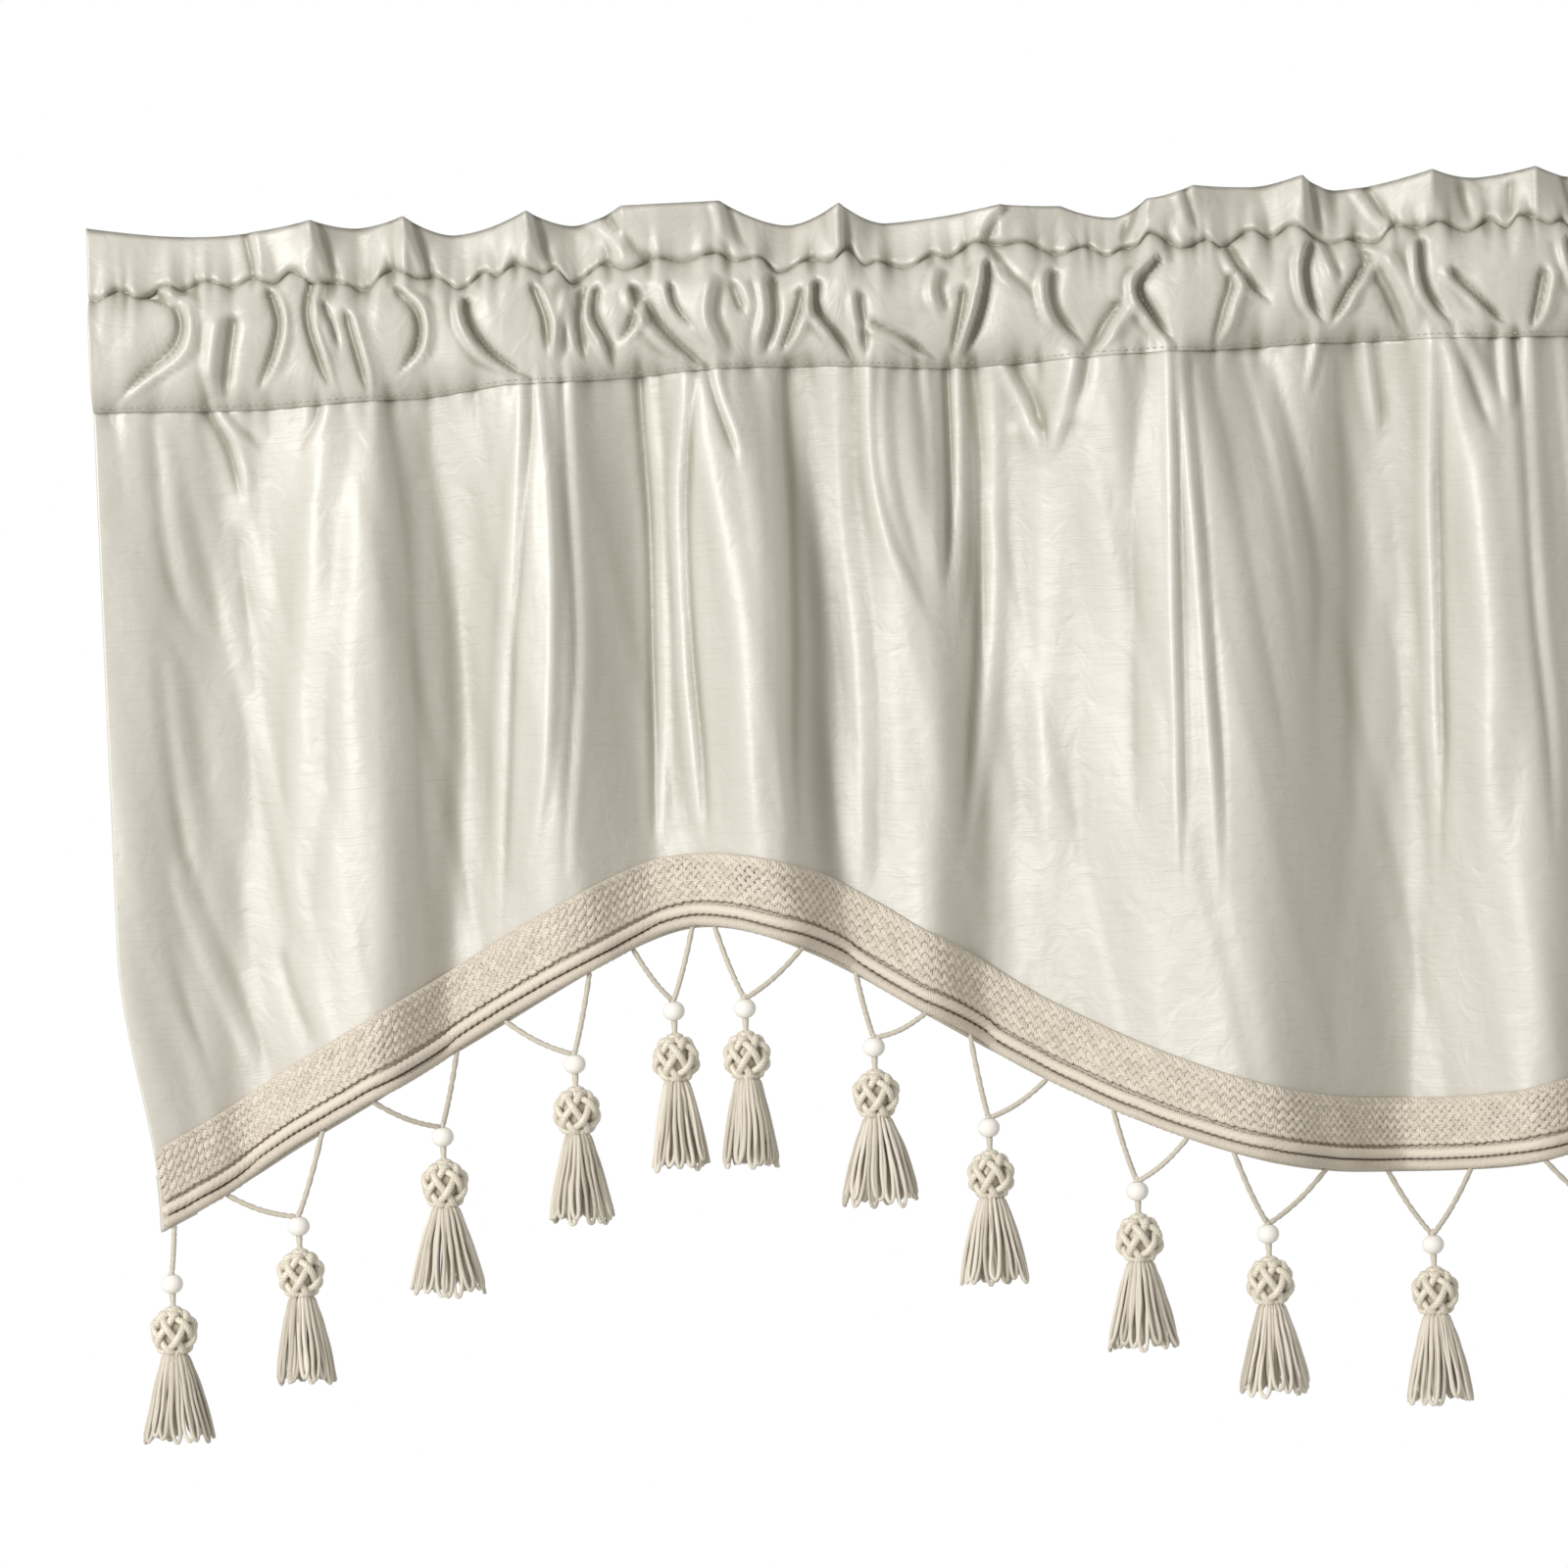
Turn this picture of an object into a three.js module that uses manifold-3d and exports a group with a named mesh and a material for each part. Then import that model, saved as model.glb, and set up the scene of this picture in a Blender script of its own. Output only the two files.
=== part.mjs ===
// Tassel valance: a gathered heading with a rod pocket, a panel that hangs in folds to a waved hem,
// a woven braid sewn along the hem, and tassels with beads that hang from the braid.
// Millimetres, +Z up, front towards -Y. The origin is the middle of the heading's top edge.
import * as THREE from "three";
import Module from "manifold-3d";

const wasm = await Module();
wasm.setup();

// Driving dimensions
const HALF_WIDTH = 594;
const GAP = 0.3;
const CLOTH = 2;
const EDGE_CURL = 15;
const EDGE_CURL_FROM = 330;
const EDGE_CURL_TO = 452;
const EDGE_CURL_REACH = 90;

const STITCH_DROP = 29;
const RUFFLE_THICKNESS = 2.4;
const RUFFLE_MIDDLE_LEAN = 0.55;
const RUFFLE_FOOT_LEAN = 0.25;
const POCKET_FRONT = 13.5;
const POCKET_BACK = 15.5;
const POCKET_SHOULDER = 0.8;
const POCKET_BACK_SHOULDER = 0.85;
const POCKET_WALL = 2;
const POCKET_END_MARGIN = 3.5;

const PANEL_COLUMNS = 98;
const PANEL_ROWS = 8;
const MIDDLE_DROP = 232;
const LOW_DROP = 400;

const BRAID_WIDTH = 34;
const BRAID_THICKNESS = 2;
const BRAID_RIDGE = 4.4;
const BRAID_GROOVE = 2.4;
const RIDGE_PITCH = 5.5;

const CORD_RADIUS = 1.3;
const CORD_SAG = 2;
const CORD_STEPS = 4;
const CORD_START = 0.9;
const CORD_SLOPE_DROP = 1.04;
const BEAD_RADIUS = 5;
const BEAD_HOLE = 1.9;
const BEAD_HALF_HEIGHT = 3.9;
const BEAD_SHOULDER = 4.3;
const BEAD_SHOULDER_UP = 2.75;
const BEAD_SIDES = 8;
const STEM_RADIUS = 1.5;
const STEM_SIDES = 5;
const STEM_SUNK = 2;
const STEM_ABOVE_BEAD = 6.9;
const BEAD_TO_BALL = 22;
const BALL_HALF_HEIGHT = 12;
const SKIRT_BELOW_BALL = 52;
const LOCKS = 10;
const LOCK_ROOT_OUTER = 7;
const LOCK_ROOT_INNER = 3;
const ROOT_SHARE = 0.9;
const LOCK_WIDTH = 0.62;
const LOCK_DEPTH = 5;
const LOCK_UNEVEN = 2;
const LOCK_SHUFFLE = 2.4;

// The knotted ball from its top to its foot: each ring's radius, its height over the middle, and how
// far every second point stands out as a knot.
const BALL_RINGS = [
  { radius: 4.6, up: 12, knob: 0 },
  { radius: 9.9, up: 5.8, knob: 0.9 },
  { radius: 10.4, up: -1.8, knob: -0.9 },
];

// The lines of the heading: how far the stitch line and the pocket's seam lie below the top.
const HEADING_LINES = [
  { at: -594, seam: 83.5 },
  { at: -520, seam: 85 },
  { at: -450, seam: 83 },
  { at: -400, seam: 79 },
  { at: -290, seam: 75.5 },
  { at: -200, seam: 79.5 },
  { at: -100, seam: 77 },
  { at: -30, seam: 75.5 },
  { at: 60, seam: 77 },
  { at: 200, seam: 79 },
  { at: 400, seam: 78 },
  { at: 594, seam: 83.5 },
];

// The upright ruffle, a row for each fold: how far its top edge leans out and how low that edge dips.
const RUFFLE_LEFT = [
  { at: -594, out: 0, dip: 0, stitch: 3 },
  { at: -538, out: -4, dip: 6, stitch: -1 },
  { at: -491, out: 8, dip: 1.5, stitch: -2 },
  { at: -471, out: -5, dip: 5, stitch: 4 },
  { at: -449, out: 8, dip: 1.5, stitch: -3 },
  { at: -427, out: -6, dip: 10, stitch: 4 },
  { at: -393, out: 8, dip: 1.5, stitch: -3 },
  { at: -372, out: -6, dip: 8, stitch: 4 },
  { at: -350, out: 8, dip: 1, stitch: -2 },
  { at: -305, out: 6, dip: 0.5, stitch: -3 },
  { at: -274, out: -6, dip: 12, stitch: 3 },
  { at: -251, out: 9, dip: 4, stitch: -2 },
  { at: -230, out: -6, dip: 13, stitch: 4 },
  { at: -178, out: 8, dip: 8, stitch: -4 },
  { at: -150, out: -2, dip: 9, stitch: 1 },
  { at: -126, out: -6, dip: 15, stitch: 3 },
  { at: -111, out: 6, dip: 8, stitch: -3 },
];
const RUFFLE_MIDDLE = [
  { at: -90, out: 8, dip: 3, stitch: 2 },
  { at: -62, out: -4, dip: 4, stitch: -3 },
  { at: -40, out: 8, dip: 0.5, stitch: -4 },
  { at: -24, out: -6, dip: 7, stitch: 3 },
  { at: 19, out: 8, dip: 0.5, stitch: -4 },
  { at: 40, out: -5, dip: 4, stitch: -2 },
  { at: 66, out: 7, dip: 1, stitch: -4 },
  { at: 88, out: -5, dip: 6, stitch: 2 },
];

// The pocket's front, a row for each crease that the gathers press into it.
const CREASES_LEFT = [
  { at: -594, belly: 0.5 },
  { at: -554, belly: 0.7 },
  { at: -531, belly: 0.9 },
  { at: -508, belly: 0.9 },
  { at: -480, belly: 1 },
  { at: -445, belly: 0.9 },
  { at: -411, belly: 1 },
  { at: -384, belly: 0.8 },
  { at: -356, belly: 0.9 },
  { at: -330, belly: 0.9 },
  { at: -302, belly: 0.8 },
  { at: -275, belly: 0.9 },
  { at: -250, belly: 1 },
  { at: -213, belly: 0.8 },
  { at: -190, belly: 0.9 },
  { at: -154, belly: 0.7 },
];
const CREASES_MIDDLE = [
  { at: -134, belly: 0.8 },
  { at: -116, belly: 1 },
  { at: -82, belly: 1 },
  { at: -56, belly: 0.9 },
  { at: -30, belly: 1 },
  { at: -1, belly: 0.9 },
  { at: 21, belly: 0.8 },
  { at: 41, belly: 1 },
  { at: 61, belly: 0.9 },
  { at: 92, belly: 0.8 },
  { at: 122, belly: 0.9 },
];
const BELLY = 7;

// The panel's folds from side edge to side edge, each with its place and its depth towards the room
// at the seam, halfway down and low down.
const FOLDS_LEFT = [
  { seamAt: -594, middleAt: -594, lowAt: -594, seamOut: 1, middleOut: 4, lowOut: 2 },
  { seamAt: -532, middleAt: -537, lowAt: -542, seamOut: -3, middleOut: -15, lowOut: -14 },
  { seamAt: -467, middleAt: -471, lowAt: -479, seamOut: 4, middleOut: 15, lowOut: 13 },
  { seamAt: -450, middleAt: -435, lowAt: -444, seamOut: -6, middleOut: -15, lowOut: -11 },
  { seamAt: -390, middleAt: -390, lowAt: -382, seamOut: 9, middleOut: 17, lowOut: 7 },
  { seamAt: -347, middleAt: -345, lowAt: -350, seamOut: -8, middleOut: -15, lowOut: -5 },
  { seamAt: -312, middleAt: -295, lowAt: -286, seamOut: 6, middleOut: 18, lowOut: 9 },
  { seamAt: -274, middleAt: -266, lowAt: -257, seamOut: -6, middleOut: -15, lowOut: -8 },
  { seamAt: -243, middleAt: -219, lowAt: -228, seamOut: 6, middleOut: 1, lowOut: -2 },
  { seamAt: -188, middleAt: -192, lowAt: -196, seamOut: -7, middleOut: -18, lowOut: -20 },
];
const FOLDS_MIDDLE = [
  { seamAt: -100, middleAt: -82, lowAt: -79, seamOut: 9, middleOut: 26, lowOut: 25 },
  { seamAt: -20, middleAt: -10, lowAt: -8, seamOut: -10, middleOut: -24, lowOut: -22 },
  { seamAt: 27, middleAt: 48, lowAt: 52, seamOut: 12, middleOut: 13, lowOut: 13 },
  { seamAt: 84, middleAt: 88, lowAt: 90, seamOut: -6, middleOut: -9, lowOut: -9 },
  { seamAt: 120, middleAt: 126, lowAt: 128, seamOut: 8, middleOut: 18, lowOut: 18 },
];

// Short folds that start at the seam and die out on the way down.
const SHORT_FOLDS = [
  { at: -143, lean: 8, halfWidth: 26, out: 11, ends: 210 },
  { at: -72, lean: 14, halfWidth: 16, out: -12, ends: 190 },
  { at: -38, lean: 0, halfWidth: 15, out: 6, ends: 200 },
  { at: -214, lean: 0, halfWidth: 12, out: -5, ends: 300 },
  { at: 40, lean: 5, halfWidth: 10, out: -6, ends: 170 },
];

// The braid's lower edge: how far down it lies at each distance out from the middle.
const HEM = [
  { at: 0, drop: 457 },
  { at: 52, drop: 452.5 },
  { at: 110, drop: 436 },
  { at: 172, drop: 408 },
  { at: 226, drop: 375.5 },
  { at: 284, drop: 341.5 },
  { at: 326, drop: 330.5 },
  { at: 362, drop: 340.5 },
  { at: 441, drop: 382.5 },
  { at: 528, drop: 429 },
  { at: 594, drop: 458 },
];

// The tassels of one half, from the corner to the middle: bead, the feet of the two cords on the
// braid, before its edge curls in, and the width of the skirt at its foot.
const TASSELS = [
  { bead: 575.5, beadDrop: 482, outerFoot: 588.5, innerFoot: null, skirt: 35 },
  { bead: 517, beadDrop: 458.5, outerFoot: 562.5, innerFoot: 502.5, skirt: 30 },
  { bead: 449.5, beadDrop: 420.5, outerFoot: 480.5, innerFoot: 441.5, skirt: 38 },
  { bead: 388, beadDrop: 390, outerFoot: 419, innerFoot: 379.5, skirt: 33 },
  { bead: 342, beadDrop: 368, outerFoot: 361, innerFoot: 331, skirt: 29 },
  { bead: 309.5, beadDrop: 368, outerFoot: 321, innerFoot: 282.5, skirt: 29 },
  { bead: 251.5, beadDrop: 388.5, outerFoot: 259, innerFoot: 226.5, skirt: 38 },
  { bead: 200.5, beadDrop: 428, outerFoot: 209, innerFoot: 171.5, skirt: 34 },
  { bead: 135, beadDrop: 458.5, outerFoot: 143, innerFoot: 110, skirt: 36 },
  { bead: 77, beadDrop: 480, outerFoot: 91.5, innerFoot: 49, skirt: 36 },
];
const MIDDLE_TASSEL = { bead: 0, beadDrop: 490, outerFoot: 20.5, innerFoot: -20.5, skirt: 33 };

// Colours
const SILK = { color: 0xd9d6ca, roughness: 0.38, metalness: 0 };
const BRAID = { color: 0xcdc0ac, roughness: 0.8, metalness: 0 };
const YARN = { color: 0xc8bca5, roughness: 0.6, metalness: 0 };
const PEARL = { color: 0xe9e6dc, roughness: 0.15, metalness: 0 };

// 0 to 1 in an even start and stop.
function ease(t) {
  const s = THREE.MathUtils.clamp(t, 0, 1);
  return s * s * (3 - 2 * s);
}

// 0 to 1 with a quick start and a slow end, as gathered cloth opens under its seam.
function open(t) {
  const s = THREE.MathUtils.clamp(t, 0, 1);
  return 1 - (1 - s) ** 3;
}

// The two rows that a place lies between, and how far it is from the first to the second.
function between(rows, place) {
  const last = rows.length - 2;
  let i = rows.findIndex((row, k) => k > 0 && place <= row.at) - 1;
  if (i < 0) i = place <= rows[0].at ? 0 : last;
  const span = rows[i + 1].at - rows[i].at;
  return { i, t: THREE.MathUtils.clamp((place - rows[i].at) / span, 0, 1) };
}

// A column's value at a place, rounded at each row as folded cloth is.
function folded(rows, column, place) {
  const { i, t } = between(rows, place);
  return THREE.MathUtils.lerp(rows[i][column], rows[i + 1][column], ease(t));
}

// A column's value at a place, on a smooth curve through the rows.
function curved(rows, column, place) {
  const { i, t } = between(rows, place);
  const at = (k) => rows[THREE.MathUtils.clamp(k, 0, rows.length - 1)];
  const span = at(i + 1).at - at(i).at;
  const slope = (k) => (at(k + 1)[column] - at(k - 1)[column]) / (at(k + 1).at - at(k - 1).at);
  const start = i === 0 ? 0 : slope(i);
  const end = slope(i + 1);
  const tt = t * t;
  const ttt = tt * t;
  return (
    (2 * ttt - 3 * tt + 1) * at(i)[column] +
    (ttt - 2 * tt + t) * span * start +
    (3 * tt - 2 * ttt) * at(i + 1)[column] +
    (ttt - tt) * span * end
  );
}

// The rows of the left half seen in a mirror, in order from the middle outwards.
function mirrored(rows, columns = ["at"]) {
  const turned = rows.map((row) => {
    const copy = { ...row };
    for (const column of columns) copy[column] = -row[column];
    return copy;
  });
  return turned.reverse();
}

const RUFFLE = [...RUFFLE_LEFT, ...RUFFLE_MIDDLE, ...mirrored(RUFFLE_LEFT)];
const CREASES = [...CREASES_LEFT, ...CREASES_MIDDLE, ...mirrored(CREASES_LEFT)];
const FOLDS = [
  ...FOLDS_LEFT,
  ...FOLDS_MIDDLE,
  ...mirrored(FOLDS_LEFT, ["seamAt", "middleAt", "lowAt"]),
];

const seamDrop = (x) => folded(HEADING_LINES, "seam", x);
const hemDrop = (x) => curved(HEM, "drop", Math.abs(x));

// How far the panel's front stands out towards the room, at a place across and down.
function panelOut(x, drop) {
  const toMiddle = open((drop - seamDrop(x)) / (MIDDLE_DROP - seamDrop(x)));
  const toLow = ease((drop - MIDDLE_DROP) / (LOW_DROP - MIDDLE_DROP));
  const blend = (seam, middle, low) =>
    seam + (middle - seam) * toMiddle + (low - middle) * toLow;
  const rows = FOLDS.map((fold) => ({
    at: blend(fold.seamAt, fold.middleAt, fold.lowAt),
    out: blend(fold.seamOut, fold.middleOut, fold.lowOut),
  }));
  let out = folded(rows, "out", x);
  for (const fold of SHORT_FOLDS) {
    const down = (drop - seamDrop(x)) / (fold.ends - seamDrop(x));
    const off = (x - fold.at - fold.lean * down) / fold.halfWidth;
    out += fold.out * (1 - ease(down)) * Math.exp(-off * off);
  }
  return out;
}

// The side edges curl in towards the corners.
function acrossAt(x, drop) {
  const low = ease((drop - EDGE_CURL_FROM) / (EDGE_CURL_TO - EDGE_CURL_FROM));
  const side = ease((Math.abs(x) - HALF_WIDTH + EDGE_CURL_REACH) / EDGE_CURL_REACH);
  return x - Math.sign(x) * EDGE_CURL * low * side;
}

// A geometry from a list of points and a list of triangles.
function geometryOf(points, triangles) {
  const geometry = new THREE.BufferGeometry();
  geometry.setAttribute("position", new THREE.Float32BufferAttribute(points.flat(), 3));
  geometry.setIndex(triangles.flat());
  geometry.computeVertexNormals();
  return geometry;
}

// The skin between equal rings of points that turn anticlockwise about the way they follow each other.
function loftedSkin(rings, offset, triangles, facingOut) {
  const count = rings[0].length;
  for (let r = 0; r + 1 < rings.length; r++) {
    for (let k = 0; k < count; k++) {
      const a = offset + r * count + k;
      const b = offset + r * count + ((k + 1) % count);
      const c = a + count;
      const d = b + count;
      if (facingOut) triangles.push([a, b, c], [b, d, c]);
      else triangles.push([a, c, b], [b, c, d]);
    }
  }
}

// A solid lofted along X through sections of [y, z], each with an optional hole.
function loftAlongX(stations, sectionAt, holeAt) {
  const points = [];
  const triangles = [];
  const outer = stations.map((x) => sectionAt(x).map(([y, z]) => [x, y, z]));
  const inner = holeAt ? stations.map((x) => holeAt(x).map(([y, z]) => [x, y, z])) : [];
  outer.forEach((ring) => points.push(...ring));
  const holeOffset = points.length;
  inner.forEach((ring) => points.push(...ring));
  loftedSkin(outer, 0, triangles, true);
  if (holeAt) loftedSkin(inner, holeOffset, triangles, false);

  const cap = (ring, hole, ringStart, holeStart, turned) => {
    const flat = (list) => list.map(([, y, z]) => new THREE.Vector2(y, z));
    const faces = THREE.ShapeUtils.triangulateShape(flat(ring), hole ? [flat(hole)] : []);
    const index = (k) => (k < ring.length ? ringStart + k : holeStart + k - ring.length);
    for (const [a, b, c] of faces) {
      const face = [index(a), index(b), index(c)];
      triangles.push(turned ? face.reverse() : face);
    }
  };
  const last = stations.length - 1;
  cap(outer[0], inner[0], 0, holeOffset, true);
  const ringStart = last * outer[0].length;
  const holeStart = holeAt ? holeOffset + last * inner[0].length : 0;
  cap(outer[last], inner[last], ringStart, holeStart, false);
  return geometryOf(points, triangles);
}

function evenStations(count) {
  return Array.from({ length: count + 1 }, (_, i) => HALF_WIDTH * ((2 * i) / count - 1));
}

// A station at each crease of the pocket and at the top of each belly between two creases.
function headingStations() {
  const stations = [CREASES[0].at];
  for (let i = 0; i + 1 < CREASES.length; i++) {
    stations.push((CREASES[i].at + CREASES[i + 1].at) / 2, CREASES[i + 1].at);
  }
  return stations;
}

// How far the pocket's front swells between two creases, as round bellies with sharp creases.
function bellyAt(x) {
  const { i, t } = between(CREASES, x);
  return BELLY * CREASES[i].belly * Math.sqrt(Math.sin(Math.PI * t));
}

// The heading's lines at one place across: the ruffle's top, the stitch line and the pocket's seam.
function headingAt(x) {
  return {
    lean: folded(RUFFLE, "out", x),
    top: -folded(RUFFLE, "dip", x),
    stitch: -(STITCH_DROP + folded(RUFFLE, "stitch", x)),
    seam: -seamDrop(x),
    seamLean: panelOut(x, seamDrop(x)),
    front: POCKET_FRONT + bellyAt(x),
    back: POCKET_BACK * POCKET_BACK_SHOULDER,
  };
}

function headingSection(x) {
  const { lean, top, stitch, seam, seamLean, front, back } = headingAt(x);
  const half = RUFFLE_THICKNESS / 2;
  const pocket = (share) => THREE.MathUtils.lerp(stitch, seam, share);
  return [
    [-lean - half, top],
    [-lean * RUFFLE_MIDDLE_LEAN - half, (top + stitch) / 2],
    [-lean * RUFFLE_FOOT_LEAN - half, stitch],
    [-front * POCKET_SHOULDER, pocket(0.2)],
    [-front, pocket(0.5)],
    [-front * POCKET_SHOULDER, pocket(0.8)],
    [-seamLean - CLOTH / 2, seam],
    [-seamLean + CLOTH / 2, seam],
    [back, pocket(0.78)],
    [back, pocket(0.24)],
    [-lean * RUFFLE_FOOT_LEAN + half, stitch],
    [-lean + half, top],
  ];
}

// The tunnel that the rod runs through, one wall's thickness inside the section.
function tunnelSection(x) {
  const { lean, stitch, seam, seamLean, front, back } = headingAt(x);
  const pocket = (share) => THREE.MathUtils.lerp(stitch, seam, share);
  return [
    [-lean * RUFFLE_FOOT_LEAN, stitch - POCKET_END_MARGIN],
    [-front * POCKET_SHOULDER + POCKET_WALL, pocket(0.24)],
    [-front + POCKET_WALL, pocket(0.5)],
    [-front * POCKET_SHOULDER + POCKET_WALL, pocket(0.77)],
    [-seamLean, seam + POCKET_END_MARGIN],
    [back - POCKET_WALL, pocket(0.75)],
    [back - POCKET_WALL, pocket(0.27)],
  ];
}

// The ruffle and the rod pocket, one folded strip that is open from end to end.
function makeHeading() {
  return loftAlongX(headingStations(), headingSection, tunnelSection);
}

// The braid's upper edge lies its width away, square to the lower edge.
function braidTopDrop(x) {
  const step = 4;
  const slope = (hemDrop(x + step) - hemDrop(x - step)) / (2 * step);
  return hemDrop(x) - BRAID_WIDTH * Math.sqrt(1 + slope * slope);
}

// How far down each row of the panel lies; the last two are the braid's upper and lower edges.
function panelDrops(x) {
  const top = seamDrop(x) + GAP;
  const braid = braidTopDrop(x);
  const drops = [];
  for (let j = 0; j <= PANEL_ROWS; j++) drops.push(top + ((braid - top) * j) / PANEL_ROWS);
  drops.push(hemDrop(x));
  return drops;
}

// A closed sheet between a front and a back grid of points.
function sheetOf(front, back) {
  const rows = front.length;
  const columns = front[0].length;
  const points = [...front.flat(), ...back.flat()];
  const backOffset = rows * columns;
  const triangles = [];
  const at = (j, i) => j * columns + i;
  for (let j = 0; j + 1 < rows; j++) {
    for (let i = 0; i + 1 < columns; i++) {
      const [a, b, c, d] = [at(j, i), at(j, i + 1), at(j + 1, i), at(j + 1, i + 1)];
      triangles.push([a, c, d], [a, d, b]);
      const [e, f, g, h] = [a, b, c, d].map((k) => k + backOffset);
      triangles.push([e, h, g], [e, f, h]);
    }
  }
  const rim = [];
  for (let i = 0; i < columns; i++) rim.push(at(0, i));
  for (let j = 1; j < rows; j++) rim.push(at(j, columns - 1));
  for (let i = columns - 2; i >= 0; i--) rim.push(at(rows - 1, i));
  for (let j = rows - 2; j > 0; j--) rim.push(at(j, 0));
  rim.forEach((a, k) => {
    const b = rim[(k + 1) % rim.length];
    triangles.push([a, b, a + backOffset], [b, b + backOffset, a + backOffset]);
  });
  return geometryOf(points, triangles);
}

function makePanel() {
  const stations = evenStations(PANEL_COLUMNS);
  const grid = (depth) =>
    Array.from({ length: PANEL_ROWS + 2 }, (_, j) =>
      stations.map((x) => {
        const drop = panelDrops(x)[j];
        return [acrossAt(x, drop), -panelOut(x, drop) + depth, -drop];
      }),
    );
  return sheetOf(grid(0), grid(CLOTH));
}

// The braid's section at one place: a flat band whose foot is two corded ridges.
function braidSection(x) {
  const upper = braidTopDrop(x);
  const lower = hemDrop(x);
  const width = lower - upper;
  const ridge = (RIDGE_PITCH / BRAID_WIDTH) * width;
  const face = (drop) => {
    const share = (drop - upper) / width;
    const out = THREE.MathUtils.lerp(panelOut(x, upper), panelOut(x, lower), share);
    return -out - GAP;
  };
  const point = (drop, thickness) => [acrossAt(x, drop), face(drop) - thickness, -drop];
  return [
    point(upper, 0),
    point(upper, BRAID_THICKNESS),
    point(lower - 2.2 * ridge, BRAID_THICKNESS),
    point(lower - 1.6 * ridge, BRAID_RIDGE),
    point(lower - ridge, BRAID_GROOVE),
    point(lower - 0.5 * ridge, BRAID_RIDGE),
    point(lower, BRAID_GROOVE),
    point(lower, 0),
  ];
}

function makeBraid() {
  const rings = evenStations(PANEL_COLUMNS).map(braidSection);
  const points = rings.flat();
  const triangles = [];
  loftedSkin(rings, 0, triangles, true);
  const cap = (start, turned) => {
    const fan = [[0, 1, 2], [0, 2, 7], [2, 3, 4], [2, 4, 7], [4, 5, 6], [4, 6, 7]];
    for (const [a, b, c] of fan) {
      const face = [start + a, start + b, start + c];
      triangles.push(turned ? face.reverse() : face);
    }
  };
  cap(0, true);
  cap((rings.length - 1) * rings[0].length, false);
  return geometryOf(points, triangles);
}

// A solid of the boolean library from a closed geometry.
function solidOf(geometry) {
  return new wasm.Manifold(
    new wasm.Mesh({
      numProp: 3,
      vertProperties: new Float32Array(geometry.getAttribute("position").array),
      triVerts: new Uint32Array(geometry.index.array),
    }),
  );
}

function geometryFrom(solid) {
  const mesh = solid.getMesh();
  const geometry = new THREE.BufferGeometry();
  geometry.setAttribute("position", new THREE.BufferAttribute(mesh.vertProperties, 3));
  geometry.setIndex(new THREE.BufferAttribute(mesh.triVerts, 1));
  geometry.computeVertexNormals();
  return geometry;
}

// A three-sided cord through a list of points.
function cordSolid(path, radius) {
  const sides = 3;
  const rings = path.map((point, k) => {
    const before = path[Math.max(k - 1, 0)];
    const after = path[Math.min(k + 1, path.length - 1)];
    const along = after.clone().sub(before).normalize();
    const across = new THREE.Vector3(0, 1, 0).cross(along).normalize();
    const up = along.clone().cross(across);
    return Array.from({ length: sides }, (_, s) => {
      const turn = (2 * Math.PI * s) / sides;
      const at = point.clone();
      at.addScaledVector(across, radius * Math.cos(turn));
      at.addScaledVector(up, radius * Math.sin(turn));
      return at.toArray();
    });
  });
  const triangles = [];
  loftedSkin(rings, 0, triangles, true);
  const end = (rings.length - 1) * sides;
  triangles.push([0, 2, 1], [end, end + 1, end + 2]);
  return solidOf(geometryOf(rings.flat(), triangles));
}

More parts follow.
